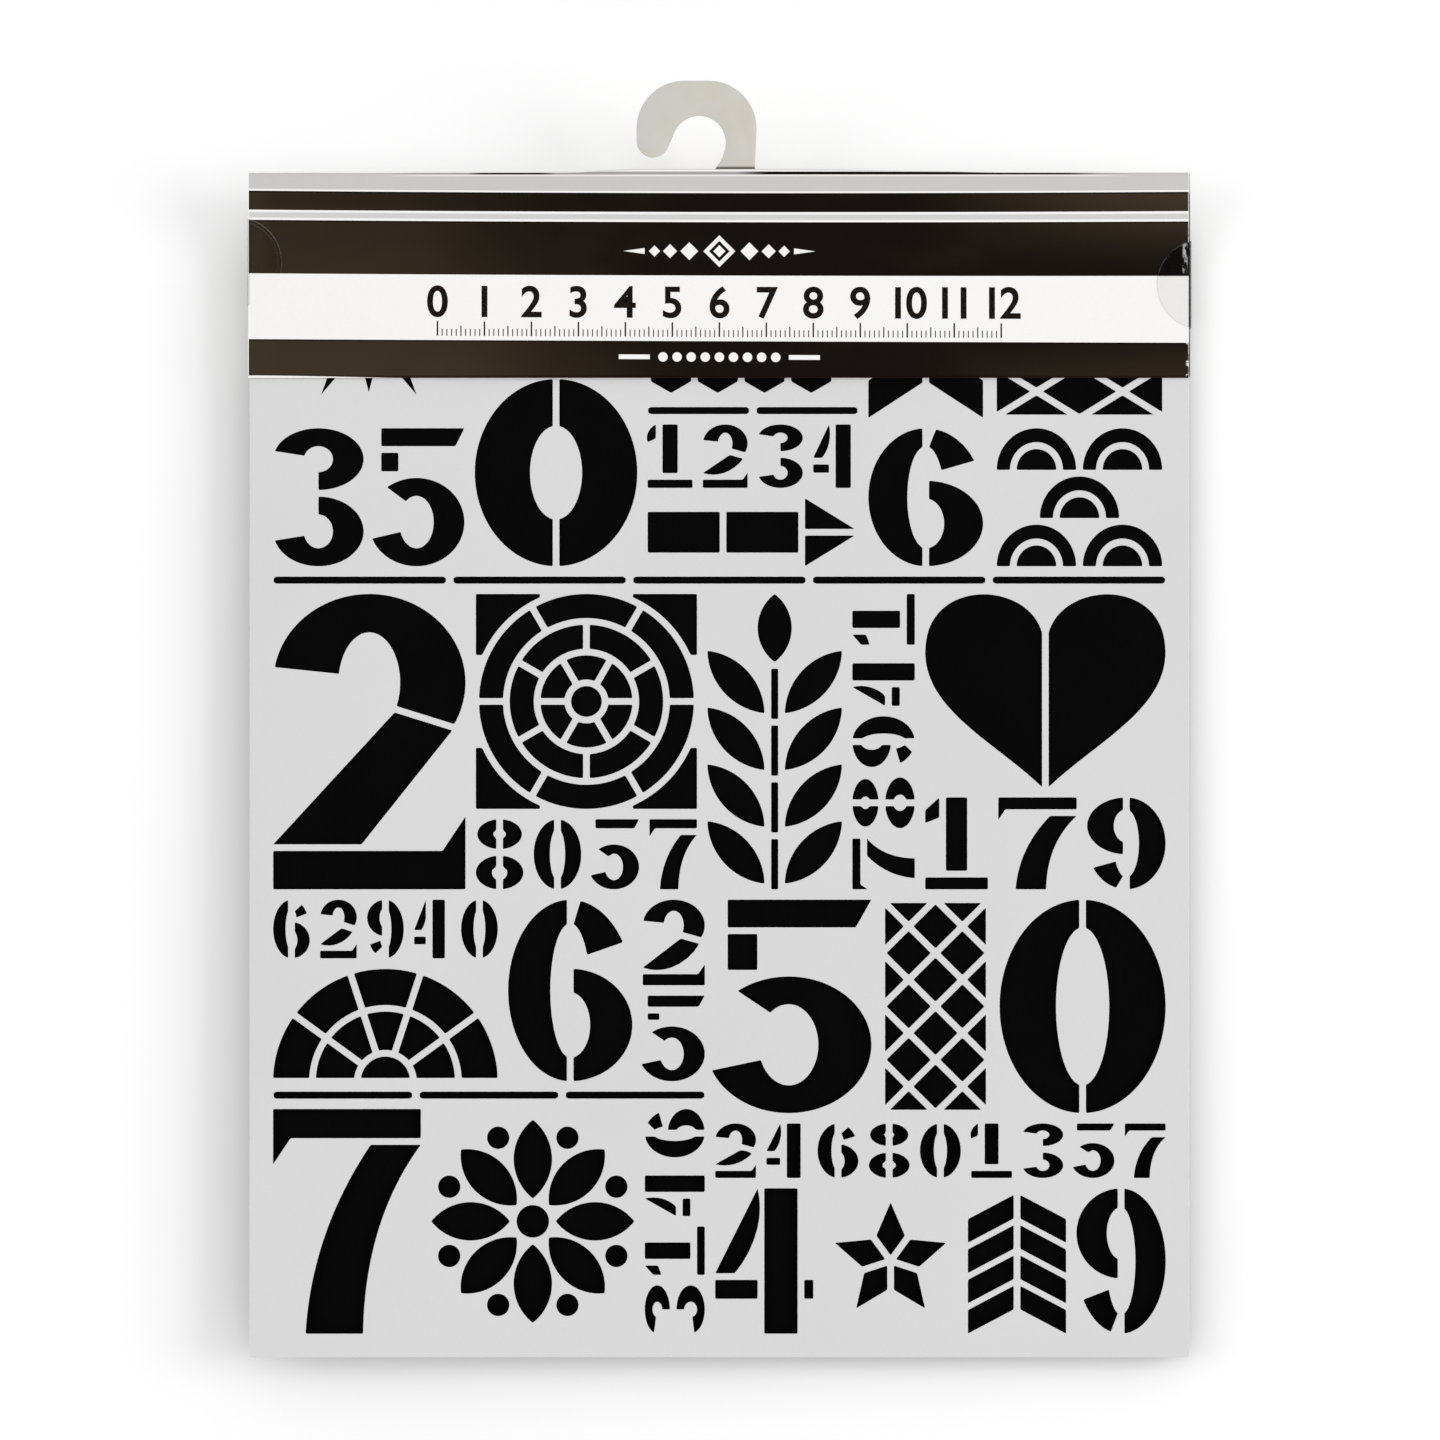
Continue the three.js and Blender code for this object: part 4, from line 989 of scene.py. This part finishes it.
def inset(loops, distance):
    """The outlines of a sheet, moved into it: its rim inwards, and its holes outwards."""
    rim = max(loops, key=lambda loop: abs(signed_area(loop)))
    moved = []
    for loop in loops:
        inward = math.copysign(distance, signed_area(loop))
        moved.append(moved_left(loop, inward if loop is rim else -inward))
    return moved


def traced_outlines(node):
    """The outlines of a flat CAD node's front face."""
    # Faces of the front have normals that point further forward than this.
    front = -0.9
    piece = node_copy(node, "traced_outlines")
    select_parts(piece, "FACE", lambda face: face.normal.y > front)
    bpy.ops.mesh.delete(type="FACE")
    bpy.ops.mesh.select_all(action="SELECT")
    bpy.ops.mesh.region_to_loop()
    bpy.ops.mesh.select_all(action="INVERT")
    bpy.ops.mesh.delete(type="EDGE")
    bpy.ops.object.mode_set(mode="OBJECT")
    loops = outlines(piece)
    bpy.data.objects.remove(piece)
    return loops


def outline_piece(name, loops):
    """A new piece made only of the edges of closed outlines."""
    points = []
    edges = []
    for loop in loops:
        start = len(points)
        points.extend(loop)
        edges.extend((place, place + 1) for place in range(start, len(points) - 1))
        edges.append((len(points) - 1, start))
    mesh = bpy.data.meshes.new(name)
    mesh.from_pydata(points, edges, [])
    piece = bpy.data.objects.new(name, mesh)
    bpy.context.collection.objects.link(piece)
    return piece


def sheet_bow(x, z, settings):
    """How far the sheet stands forward: flat in the header, free and curling at its foot."""
    side = (x - PACK_MIDDLE) / (SHEET_HIGH.x - SHEET_LOW.x) * 2
    curl = settings.corner_curl
    return settings.lift * free_share(z, SHEET_LOW.z) ** 2 * (1 - curl + curl * side ** 2)


class STENCIL_OT_sheet(bpy.types.Operator):
    """Cuts the plastic sheet with rounded corners and edges with a painted highlight, and lets its foot bow
    out
    """
    bl_idname = "stencil.sheet"
    bl_label = "Cut Sheet"

    def execute(self, context):
        settings = context.scene.stencil_pack.sheet
        traced = traced_outlines("stencil_sheet")
        loops = [rounded(curved(curved(loop)), settings.corner) for loop in traced]
        piece = outline_piece("cut_sheet", inset(loops, settings.cut_edge))
        edit(piece)
        bpy.ops.mesh.fill(use_beauty=True)
        cut_strips(UP, steps(SHEET_LOW.z, HEADER_LOW.z, settings.row))
        cut_strips(ACROSS, steps(SHEET_LOW.x, SHEET_HIGH.x, settings.column))
        bpy.ops.mesh.select_all(action="SELECT")
        bpy.ops.mesh.remove_doubles(threshold=NEAR_POINT)
        face_front(piece)
        bpy.ops.object.mode_set(mode="OBJECT")
        dress(piece, stencil_plastic(settings), cut_edge(settings))
        modify(piece, "SOLIDIFY", thickness=SHEET_HIGH.y - SHEET_LOW.y, offset=-1, material_offset_rim=1)

        edit(piece)
        cut_strips(THROUGH, [SHEET_LOW.y + settings.cut_edge, SHEET_HIGH.y - settings.cut_edge])
        bpy.ops.object.mode_set(mode="OBJECT")
        outward = [vertex.normal.copy() for vertex in piece.data.vertices]
        for vertex, normal in zip(piece.data.vertices, outward):
            if SHEET_LOW.y + SAME_POINT < vertex.co.y < SHEET_HIGH.y - SAME_POINT:
                vertex.co += normal * settings.cut_edge
            vertex.co.y -= sheet_bow(vertex.co.x, vertex.co.z, settings)
        settle(piece, "stencil", "stencil_plastic", "stencil_sheet")
        return {"FINISHED"}


# The backing card
class STENCIL_OT_card(bpy.types.Operator):
    """Cuts the black backing card with soft corners and lets its foot lean back"""
    bl_idname = "stencil.card"
    bl_label = "Backing Card"

    def execute(self, context):
        settings = context.scene.stencil_pack.card
        deselect_all()
        middle = (CARD_LOW + CARD_HIGH) / 2
        bpy.ops.mesh.primitive_cube_add(size=1, location=middle, scale=CARD_HIGH - CARD_LOW)
        bpy.ops.object.transform_apply(location=True, rotation=True, scale=True)
        piece = context.object
        piece.name = "black_backing"
        edit(piece)

        def stands_at_corner(edge):
            first, second = edge.verts
            return abs(first.co.y - second.co.y) > SAME_POINT

        select_parts(piece, "EDGE", stands_at_corner)
        bpy.ops.mesh.bevel(offset=settings.corner, segments=5, affect="EDGES")
        cut_strips(UP, steps(CARD_LOW.z, HEADER_LOW.z, settings.row))
        cut_strips(ACROSS, steps(CARD_LOW.x, CARD_HIGH.x, settings.column))
        bpy.ops.object.mode_set(mode="OBJECT")
        for vertex in piece.data.vertices:
            vertex.co.y += settings.lean * free_share(vertex.co.z, CARD_LOW.z) ** 2
        front = black_board(settings, "black board", settings.board, settings.gloss)
        back = black_board(settings, "black board back", settings.rough_board, settings.rough_gloss)
        dress(piece, front, back)
        soften(piece, settings.soft_edge, 2)
        # Faces whose normals point further back than this are rough board.
        looks_back = 0.1
        for face in piece.data.polygons:
            face.material_index = 1 if face.normal.y > looks_back else 0
        shade_softly(piece)
        settle(piece, "backing", "black_card", "backing_card")
        return {"FINISHED"}


# The header
# A bend that turns by less than this, in radians, is a straight line.
STRAIGHT = 1e-4
# The faint waves of the front panel: their length across and up for each radian, and where they start.
RIPPLE_ACROSS = 9.5 * MM
RIPPLE_UP = 8 * MM
RIPPLE_SHIFT = 1.3
# The share of the front panel's height over which the waves grow from its foot.
RIPPLE_FADE = 0.25
# The share of its size that a figure of the font is high, and how closely figures stand.
FIGURE_SHARE = 0.72
FIGURE_SPACING = 0.85


class FoldedCard:
    """Where each point of the flat header card goes when the card is folded over the pack."""

    def __init__(self, settings):
        self.settings = settings
        self.front = HEADER_LOW.y
        self.back = HEADER_HIGH.y
        self.bottom = HEADER_LOW.z
        self.bend = (self.back - self.front) / 2
        self.middle = (self.back + self.front) / 2
        self.fold_line = fold_top(settings) - self.bend
        self.panel = self.fold_line - self.bottom
        self.arc = math.pi * self.bend
        self.length = 2 * self.panel + self.arc
        self.neck = neck_middle()
        self.slit = self.panel + self.bend + settings.lip_rise

    def gape(self, x, up):
        """How far the front panel bows out at a height over its lower edge."""
        settings = self.settings
        side = min(x - HEADER_LOW.x, HEADER_HIGH.x - x)
        free = smooth_step(side, settings.gape_held, settings.gape_free)
        rise = min(1.0, up / self.panel)
        wave = math.sin(x / RIPPLE_ACROSS + RIPPLE_SHIFT) * math.sin(up / RIPPLE_UP)
        ripple = settings.ripple * (1 + wave) / 2 * min(1.0, rise / RIPPLE_FADE)
        return free * (settings.gape * (1 - rise) ** 2 + ripple)

    def spring(self, x):
        """How far the slit's lips have straightened, from 0 to 1."""
        settings = self.settings
        place = x - self.neck
        ends = smooth_step(settings.slit_reach - abs(place), 0, settings.slit_ease)
        left = smooth_step(place, settings.lip_left, settings.lip_left_free)
        right = smooth_step(place, settings.lip_right, settings.lip_right_free)
        return ends * left * right

    def point(self, x, along, behind_slit):
        """The folded place of a point that is so far along the card from its front edge."""
        trim = self.settings.trim * (x - HEADER_LOW.x) / HEADER_WIDTH
        if along <= self.panel:
            drop = self.settings.front_drop * (1 - along / self.panel)
            return Vector((x - trim, self.front - self.gape(x, along), self.bottom + along - drop))
        second_fold = self.panel + self.arc
        if along >= second_fold:
            return Vector((x, self.back, self.fold_line - (along - second_fold)))
        trim *= 1 - (along - self.panel) / self.arc
        rise = second_fold - along if behind_slit else along - self.panel
        spring = self.spring(x)
        if not behind_slit:
            spring *= self.settings.lip_spring
        turn = (1 - spring) * rise / self.bend
        lean = rise * turn / 2 if turn < STRAIGHT else rise / turn * (1 - math.cos(turn))
        lift = rise if turn < STRAIGHT else rise / turn * math.sin(turn)
        depth = self.back - lean if behind_slit else self.front + lean
        return Vector((x - trim, depth, self.fold_line + lift))


class STENCIL_OT_header(bpy.types.Operator):
    """Cuts the header card flat, slits it, folds it over the pack and springs the slit's lips"""
    bl_idname = "stencil.header"
    bl_label = "Header Card"

    def execute(self, context):
        settings = context.scene.stencil_pack.header
        folded = FoldedCard(settings)
        deselect_all()
        bpy.ops.mesh.primitive_plane_add(size=1, location=(PACK_MIDDLE, folded.length / 2, 0))
        piece = context.object
        piece.name = "folded_header"
        piece.scale = (HEADER_WIDTH, folded.length, 1)
        bpy.ops.object.transform_apply(location=True, rotation=True, scale=True)

        edit(piece)
        slit_left = folded.neck - settings.slit_reach
        slit_right = folded.neck + settings.slit_reach
        second_fold = folded.panel + folded.arc
        cut_strips(ACROSS, steps(HEADER_LOW.x, slit_left, settings.column) + [slit_left])
        cut_strips(ACROSS, steps(slit_left, slit_right, settings.slit_column) + [slit_right])
        cut_strips(ACROSS, steps(slit_right, HEADER_HIGH.x, settings.column))
        # The card is still flat, and its length runs along this axis.
        along = 1
        cut_strips(along, steps(0, folded.panel, settings.row) + [folded.panel])
        cut_strips(along, steps(folded.panel, folded.slit, settings.fold_row) + [folded.slit])
        cut_strips(along, steps(folded.slit, second_fold, settings.fold_row) + [second_fold])
        cut_strips(along, steps(second_fold, folded.length, settings.row))

        def on_slit(edge):
            return all(
                abs(end.co.y - folded.slit) < 2 * SAME_POINT
                and slit_left - SAME_POINT < end.co.x < slit_right + SAME_POINT
                for end in edge.verts
            )

        select_parts(piece, "EDGE", on_slit)
        bpy.ops.mesh.edge_split(type="EDGE")
        mesh = bmesh.from_edit_mesh(piece.data)
        from_slit = mesh.verts.layers.float.new("from_slit")
        places = {}
        for vertex in mesh.verts:
            centre = vertex.link_faces[0].calc_center_median().y
            places[vertex] = folded.point(vertex.co.x, vertex.co.y, centre > folded.slit)
            vertex[from_slit] = abs(vertex.co.y - folded.slit)
        for vertex, place in places.items():
            vertex.co = place
        bmesh.update_edit_mesh(piece.data)
        bpy.ops.mesh.select_all(action="SELECT")
        middles = {face: face.calc_center_median() for face in mesh.faces}
        panels = [face for face in mesh.faces if middles[face].z < folded.fold_line]
        if sum(face.normal.y * (middles[face].y - folded.middle) for face in panels) < 0:
            bpy.ops.mesh.flip_normals()
        bpy.ops.object.mode_set(mode="OBJECT")

        dress(piece, header_print(settings), board_inside(settings), board_core(settings))
        modify(
            piece, "SOLIDIFY", thickness=settings.board, offset=-1, use_even_offset=True,
            material_offset=1, material_offset_rim=2,
        )
        shade_softly(piece)
        settle(piece, "header", "header_print", "header_card")
        return {"FINISHED"}


def scale_figure(context, settings, number):
    """One figure of the scale, upright on the front panel over its mark."""
    deselect_all()
    bpy.ops.object.text_add()
    text = context.object.data
    text.body = str(number)
    text.align_x = "CENTER"
    text.size = settings.figure_height / FIGURE_SHARE
    text.space_character = FIGURE_SPACING
    text.extrude = settings.figure_relief
    text.offset = settings.figure_weight
    text.resolution_u = 6
    bpy.ops.object.convert(target="MESH")
    figure = context.object
    figure.rotation_euler.x = math.radians(90)
    figure.location.x = PACK_MIDDLE - settings.scale_length / 2 + number * CENTIMETRE
    figure.location.y = HEADER_LOW.y
    figure.location.z = fold_top(settings) - settings.panel_bottom + settings.figure_rise
    bpy.ops.object.transform_apply(location=True, rotation=True, scale=True)
    return figure


class STENCIL_OT_figures(bpy.types.Operator):
    """Prints the figures of the centimetre scale on the header's white panel"""
    bl_idname = "stencil.figures"
    bl_label = "Scale Figures"

    def execute(self, context):
        settings = context.scene.stencil_pack.header
        folded = FoldedCard(settings)
        count = round(settings.scale_length / CENTIMETRE)
        figures = [scale_figure(context, settings, number) for number in range(count + 1)]
        deselect_all()
        for figure in figures:
            figure.select_set(True)
        context.view_layer.objects.active = figures[0]
        bpy.ops.object.join()
        piece = figures[0]
        piece.name = "scale_figures"
        edit(piece)
        bpy.ops.mesh.remove_doubles(threshold=SAME_POINT)
        bpy.ops.mesh.select_all(action="SELECT")
        bpy.ops.mesh.normals_make_consistent(inside=False)
        bpy.ops.object.mode_set(mode="OBJECT")
        for vertex in piece.data.vertices:
            across = (vertex.co.x - PACK_MIDDLE) / MM
            depth = (fold_top(settings) - vertex.co.z) / MM
            vertex.co.z -= (depth - print_depth(settings, across, depth)) * MM
            vertex.co.y -= folded.gape(vertex.co.x, vertex.co.z - folded.bottom)
        dress(piece, figure_ink(settings))
        settle(piece, "header", "header_print")
        return {"FINISHED"}


# The hook and its tape
# Faces that turn by less than this are one flat face.
FLAT_ANGLE = math.radians(0.5)


class STENCIL_OT_hook(bpy.types.Operator):
    """Softens the edges of the die-cut hook"""
    bl_idname = "stencil.hook"
    bl_label = "Flat Hook"

    def execute(self, context):
        settings = context.scene.stencil_pack.hook
        piece = node_copy("hanger_hook", "flat_hook")
        bpy.ops.mesh.select_all(action="SELECT")
        bpy.ops.mesh.dissolve_limited(angle_limit=FLAT_ANGLE)
        bpy.ops.object.mode_set(mode="OBJECT")
        dress(piece, hook_plastic(settings))
        soften(piece, settings.soft_edge, 3)
        shade_softly(piece)
        settle(piece, "header", "hook_plastic", "hanger_hook")
        return {"FINISHED"}


class STENCIL_OT_tape(bpy.types.Operator):
    """Gives the hidden tape its finish"""
    bl_idname = "stencil.tape"
    bl_label = "Hanger Tape"

    def execute(self, context):
        dress(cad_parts["hanger_tape"], tape_tissue(context.scene.stencil_pack.tape))
        return {"FINISHED"}


# The seals
class WrapPath:
    """The way of a film from the front panel round the header's open edge to its back panel."""

    def __init__(self, settings):
        self.bend = settings.bend
        self.dent = settings.dent
        self.front = HEADER_LOW.y - settings.glue
        self.back = HEADER_HIGH.y + settings.glue
        self.out = settings.glue + settings.bend * (1 - math.sqrt(0.5))
        self.curve = self.bend * math.pi / 2
        self.side = self.back - self.front - 2 * self.bend
        self.start = self.out - self.bend

    def point(self, along):
        """How far out of the edge, and how deep, the film is at a place; it starts to bend at 0."""
        if along <= 0:
            return self.start + along, self.front
        if along < self.curve:
            turn = along / self.bend
            return self.start + self.bend * math.sin(turn), self.front + self.bend * (1 - math.cos(turn))
        along -= self.curve
        if along < self.side:
            dent = self.dent * math.sin(math.pi * along / self.side)
            return self.out - dent, self.front + self.bend + along
        along -= self.side
        if along < self.curve:
            turn = along / self.bend
            return self.start + self.bend * math.cos(turn), self.back - self.bend * (1 - math.sin(turn))
        return self.start - (along - self.curve), self.back


def wrapped_seal(context, name, sign, edge, drop, hold, creasing):
    """One clear disc, made flat in strips and then wrapped round an edge of the header."""
    settings = context.scene.stencil_pack.seal
    header = context.scene.stencil_pack.header
    path = WrapPath(settings)
    radius = settings.diameter / 2
    middle = fold_top(header) - drop
    deselect_all()
    bpy.ops.mesh.primitive_circle_add(vertices=72, radius=radius, fill_type="NGON")
    piece = context.object
    piece.name = name
    edit(piece)
    bends = [0, path.curve, path.curve + path.side, 2 * path.curve + path.side]
    strips = steps(0, bends[1], settings.bend_row) + steps(bends[1], bends[2], settings.edge_row)
    strips += steps(bends[2], bends[3], settings.bend_row) + bends
    middle_along = radius - settings.front_reach - path.start
    # The disc is still flat: its first axis goes round the header's edge, and its second one up.
    around, upward = 0, 1
    cut_strips(around, [place - middle_along for place in strips])
    cut_strips(around, steps(-radius, -middle_along, settings.face_row))
    cut_strips(around, steps(bends[3] - middle_along, radius, settings.face_row))
    cut_strips(upward, steps(-radius, radius, settings.face_row))
    bpy.ops.object.mode_set(mode="OBJECT")
    reach = piece.data.attributes.new("reach", "FLOAT", "POINT")
    for vertex in piece.data.vertices:
        reach.data[vertex.index].value = vertex.co.xy.length / radius
        out, depth = path.point(vertex.co.x + middle_along)
        vertex.co = Vector((edge + sign * out, depth, middle + vertex.co.y))
    edit(piece)
    face_front(piece, lambda face: face.calc_center_median().y < path.front + SAME_POINT)
    bpy.ops.object.mode_set(mode="OBJECT")
    dress(piece, seal_film(settings, header, edge, middle, hold, creasing))
    modify(piece, "SOLIDIFY", thickness=settings.film, offset=1, use_even_offset=True)
    shade_softly(piece)
    return piece


class STENCIL_OT_seals(bpy.types.Operator):
    """Wraps a clear round seal round each open edge of the header"""
    bl_idname = "stencil.seals"
    bl_label = "Clear Seals"

    def execute(self, context):
        settings = context.scene.stencil_pack.seal
        left = wrapped_seal(
            context, "left_seal", -1, HEADER_LOW.x, settings.left_drop,
            settings.left_hold, settings.left_creasing,
        )
        settle(left, "header", "seal_film", "seal_left")
        right = wrapped_seal(
            context, "right_seal", 1, HEADER_HIGH.x, settings.right_drop,
            settings.right_hold, settings.right_creasing,
        )
        settle(right, "header", "seal_film", "seal_right")
        return {"FINISHED"}


# The stage
def stage_white(settings):
    """White that keeps the pack's shadow, glows a little to the camera, and is clear from behind."""
    finish = Finish("stage white")
    white = finish.node("ShaderNodeBsdfDiffuse", {}, {"Color": WHITE})
    normal = finish.node("ShaderNodeNewGeometry", output="Normal")
    glow = settings.glow + finish.part(normal, UP).most(0) * settings.floor_glow
    shine = finish.node("ShaderNodeEmission", {}, {"Color": finish.seen() * glow})
    lit = finish.node("ShaderNodeAddShader", {}, {0: white, 1: shine})
    clear = finish.node("ShaderNodeBsdfTransparent")
    behind = finish.node("ShaderNodeNewGeometry", output="Backfacing")
    finish.surface(finish.node("ShaderNodeMixShader", {}, {0: behind, 1: lit, 2: clear}))
    return finish.block


def white_world(daylight):
    """Even daylight whose sky shows as plain white to the camera and in reflections."""
    sky = Finish("daylight", "worlds")
    level = daylight + sky.seen() * (1 - daylight)
    shine = sky.node("ShaderNodeBackground", {}, {"Color": WHITE, "Strength": level})
    sky.surface(shine, "ShaderNodeOutputWorld")
    return sky.block


class STENCIL_OT_stage(bpy.types.Operator):
    """Builds the wall, floor, light and camera"""
    bl_idname = "stencil.stage"
    bl_label = "Stage"

    def execute(self, context):
        scene = context.scene
        settings = scene.stencil_pack.stage
        self.backdrop(context, settings)
        scene.world = white_world(settings.daylight)
        self.soft_box(context, "right_box", settings.key, settings.right_box)
        self.soft_box(context, "left_box", settings.side_fill, settings.left_box)
        self.soft_box(context, "back_box", settings.back_fill, settings.back_box)
        self.camera(context, settings)
        scene.view_settings.view_transform = "Standard"
        return {"FINISHED"}

    def level_square(self, context, name, size, depth, height):
        """A level square of the stage, with its middle at a depth and a height."""
        deselect_all()
        bpy.ops.mesh.primitive_plane_add(size=size, location=(PACK_MIDDLE, depth, height))
        bpy.ops.object.transform_apply(location=True, rotation=True, scale=True)
        piece = context.object
        piece.name = name
        return piece

    def backdrop(self, context, settings):
        """A floor that bends up into the wall behind the pack, and one that runs on behind the wall."""
        low, high = CAD_BOX
        wall = high.y + settings.wall_gap
        floor = low.z - settings.floor_drop
        cove_start = wall - settings.cove
        half = settings.reach / 2
        white = stage_white(settings)
        behind = self.level_square(
            context, "white_floor", settings.reach, cove_start + half, floor - SAME_POINT
        )
        self.show_only(behind, white)
        piece = self.level_square(context, "white_backdrop", settings.reach, wall - half, floor)

        def at_wall(edge):
            return all(end.co.y > wall - SAME_POINT for end in edge.verts)

        def at_wall_foot(edge):
            return at_wall(edge) and all(end.co.z < floor + SAME_POINT for end in edge.verts)

        edit(piece)
        select_parts(piece, "EDGE", at_wall)
        bpy.ops.mesh.extrude_region_move(TRANSFORM_OT_translate={"value": (0, 0, half)})
        select_parts(piece, "EDGE", at_wall_foot)
        bpy.ops.mesh.bevel(offset=settings.cove, segments=10, affect="EDGES")
        face_front(piece)
        cut_strips(ACROSS, [HEADER_HIGH.x])
        sweep_start = HEADER_HIGH.z - settings.sweep_low
        sweep_end = HEADER_HIGH.z + settings.sweep_high
        sweep_rows = steps(sweep_start, sweep_end, settings.sweep_row)
        cut_strips(UP, [sweep_start, *sweep_rows, sweep_end])
        bpy.ops.object.mode_set(mode="OBJECT")
        for vertex in piece.data.vertices:
            if vertex.co.y > cove_start - SAME_POINT:
                left = max(0, high.x - vertex.co.x) / (high.x - low.x)
                foot = (high.z - vertex.co.z) / (high.z - low.z)
                swept = smooth_step(vertex.co.z, sweep_start, sweep_end)
                vertex.co.y += settings.wall_left * left + settings.wall_foot * foot
                vertex.co.y += settings.wall_sweep * swept
        shade_softly(piece)
        self.show_only(piece, white)

    def show_only(self, piece, white):
        """Makes a stage piece that the camera sees and that neither lights nor shades the pack."""
        dress(piece, white)
        piece.visible_diffuse = False
        piece.visible_glossy = False
        piece.visible_transmission = False
        piece.visible_shadow = False

    def soft_box(self, context, name, level, offset):
        """A square lamp that lights a white face of the pack to a level."""
        away = Vector(offset)
        facing = abs(away.normalized().y)
        lamp = bpy.data.lights.new(name, "AREA")
        lamp.size = context.scene.stencil_pack.stage.box_size
        lamp.energy = level * math.pi ** 2 * away.length_squared / facing
        box = bpy.data.objects.new(name, lamp)
        box.location = (CAD_BOX[0] + CAD_BOX[1]) / 2 + away
        box.rotation_euler = away.to_track_quat("Z", "Y").to_euler()
        context.collection.objects.link(box)

    def camera(self, context, settings):
        """A camera straight in front of the pack."""
        camera = bpy.data.cameras.new("camera")
        camera.lens = camera.sensor_width * settings.distance / settings.view_width
        camera.clip_end = 10 * settings.distance
        eye = bpy.data.objects.new("camera", camera)
        eye.location = (settings.view_side, SHEET_LOW.y - settings.distance, -settings.view_drop)
        eye.rotation_euler = (math.radians(90), 0, 0)
        context.collection.objects.link(eye)
        context.scene.camera = eye


class STENCIL_PT_pack(bpy.types.Panel):
    """The pack's pieces and settings"""
    bl_idname = "STENCIL_PT_pack"
    bl_label = "Stencil Pack"
    bl_space_type = "VIEW_3D"
    bl_region_type = "UI"
    bl_category = "Stencil"

    def draw(self, context):
        pack = context.scene.stencil_pack
        for operator, group in zip(OPERATORS, GROUPS):
            box = self.layout.box()
            box.operator(operator.bl_idname)
            settings = getattr(pack, group)
            for name in settings.__annotations__:
                box.prop(settings, name)


OPERATORS = (
    STENCIL_OT_sheet,
    STENCIL_OT_card,
    STENCIL_OT_header,
    STENCIL_OT_figures,
    STENCIL_OT_hook,
    STENCIL_OT_tape,
    STENCIL_OT_seals,
    STENCIL_OT_stage,
)
GROUPS = ("sheet", "card", "header", "header", "hook", "tape", "seal", "stage")
CLASSES = (
    SheetSettings,
    CardSettings,
    HeaderSettings,
    HookSettings,
    SealSettings,
    TapeSettings,
    StageSettings,
    PackSettings,
    *OPERATORS,
    STENCIL_PT_pack,
)


def register():
    for kind in CLASSES:
        bpy.utils.register_class(kind)
    bpy.types.Scene.stencil_pack = bpy.props.PointerProperty(type=PackSettings)


def unregister():
    del bpy.types.Scene.stencil_pack
    for kind in reversed(CLASSES):
        bpy.utils.unregister_class(kind)


def main():
    register()
    bpy.ops.stencil.sheet()
    bpy.ops.stencil.card()
    bpy.ops.stencil.header()
    bpy.ops.stencil.figures()
    bpy.ops.stencil.hook()
    bpy.ops.stencil.tape()
    bpy.ops.stencil.seals()
    bpy.ops.stencil.stage()


if __name__ == "__main__":
    main()
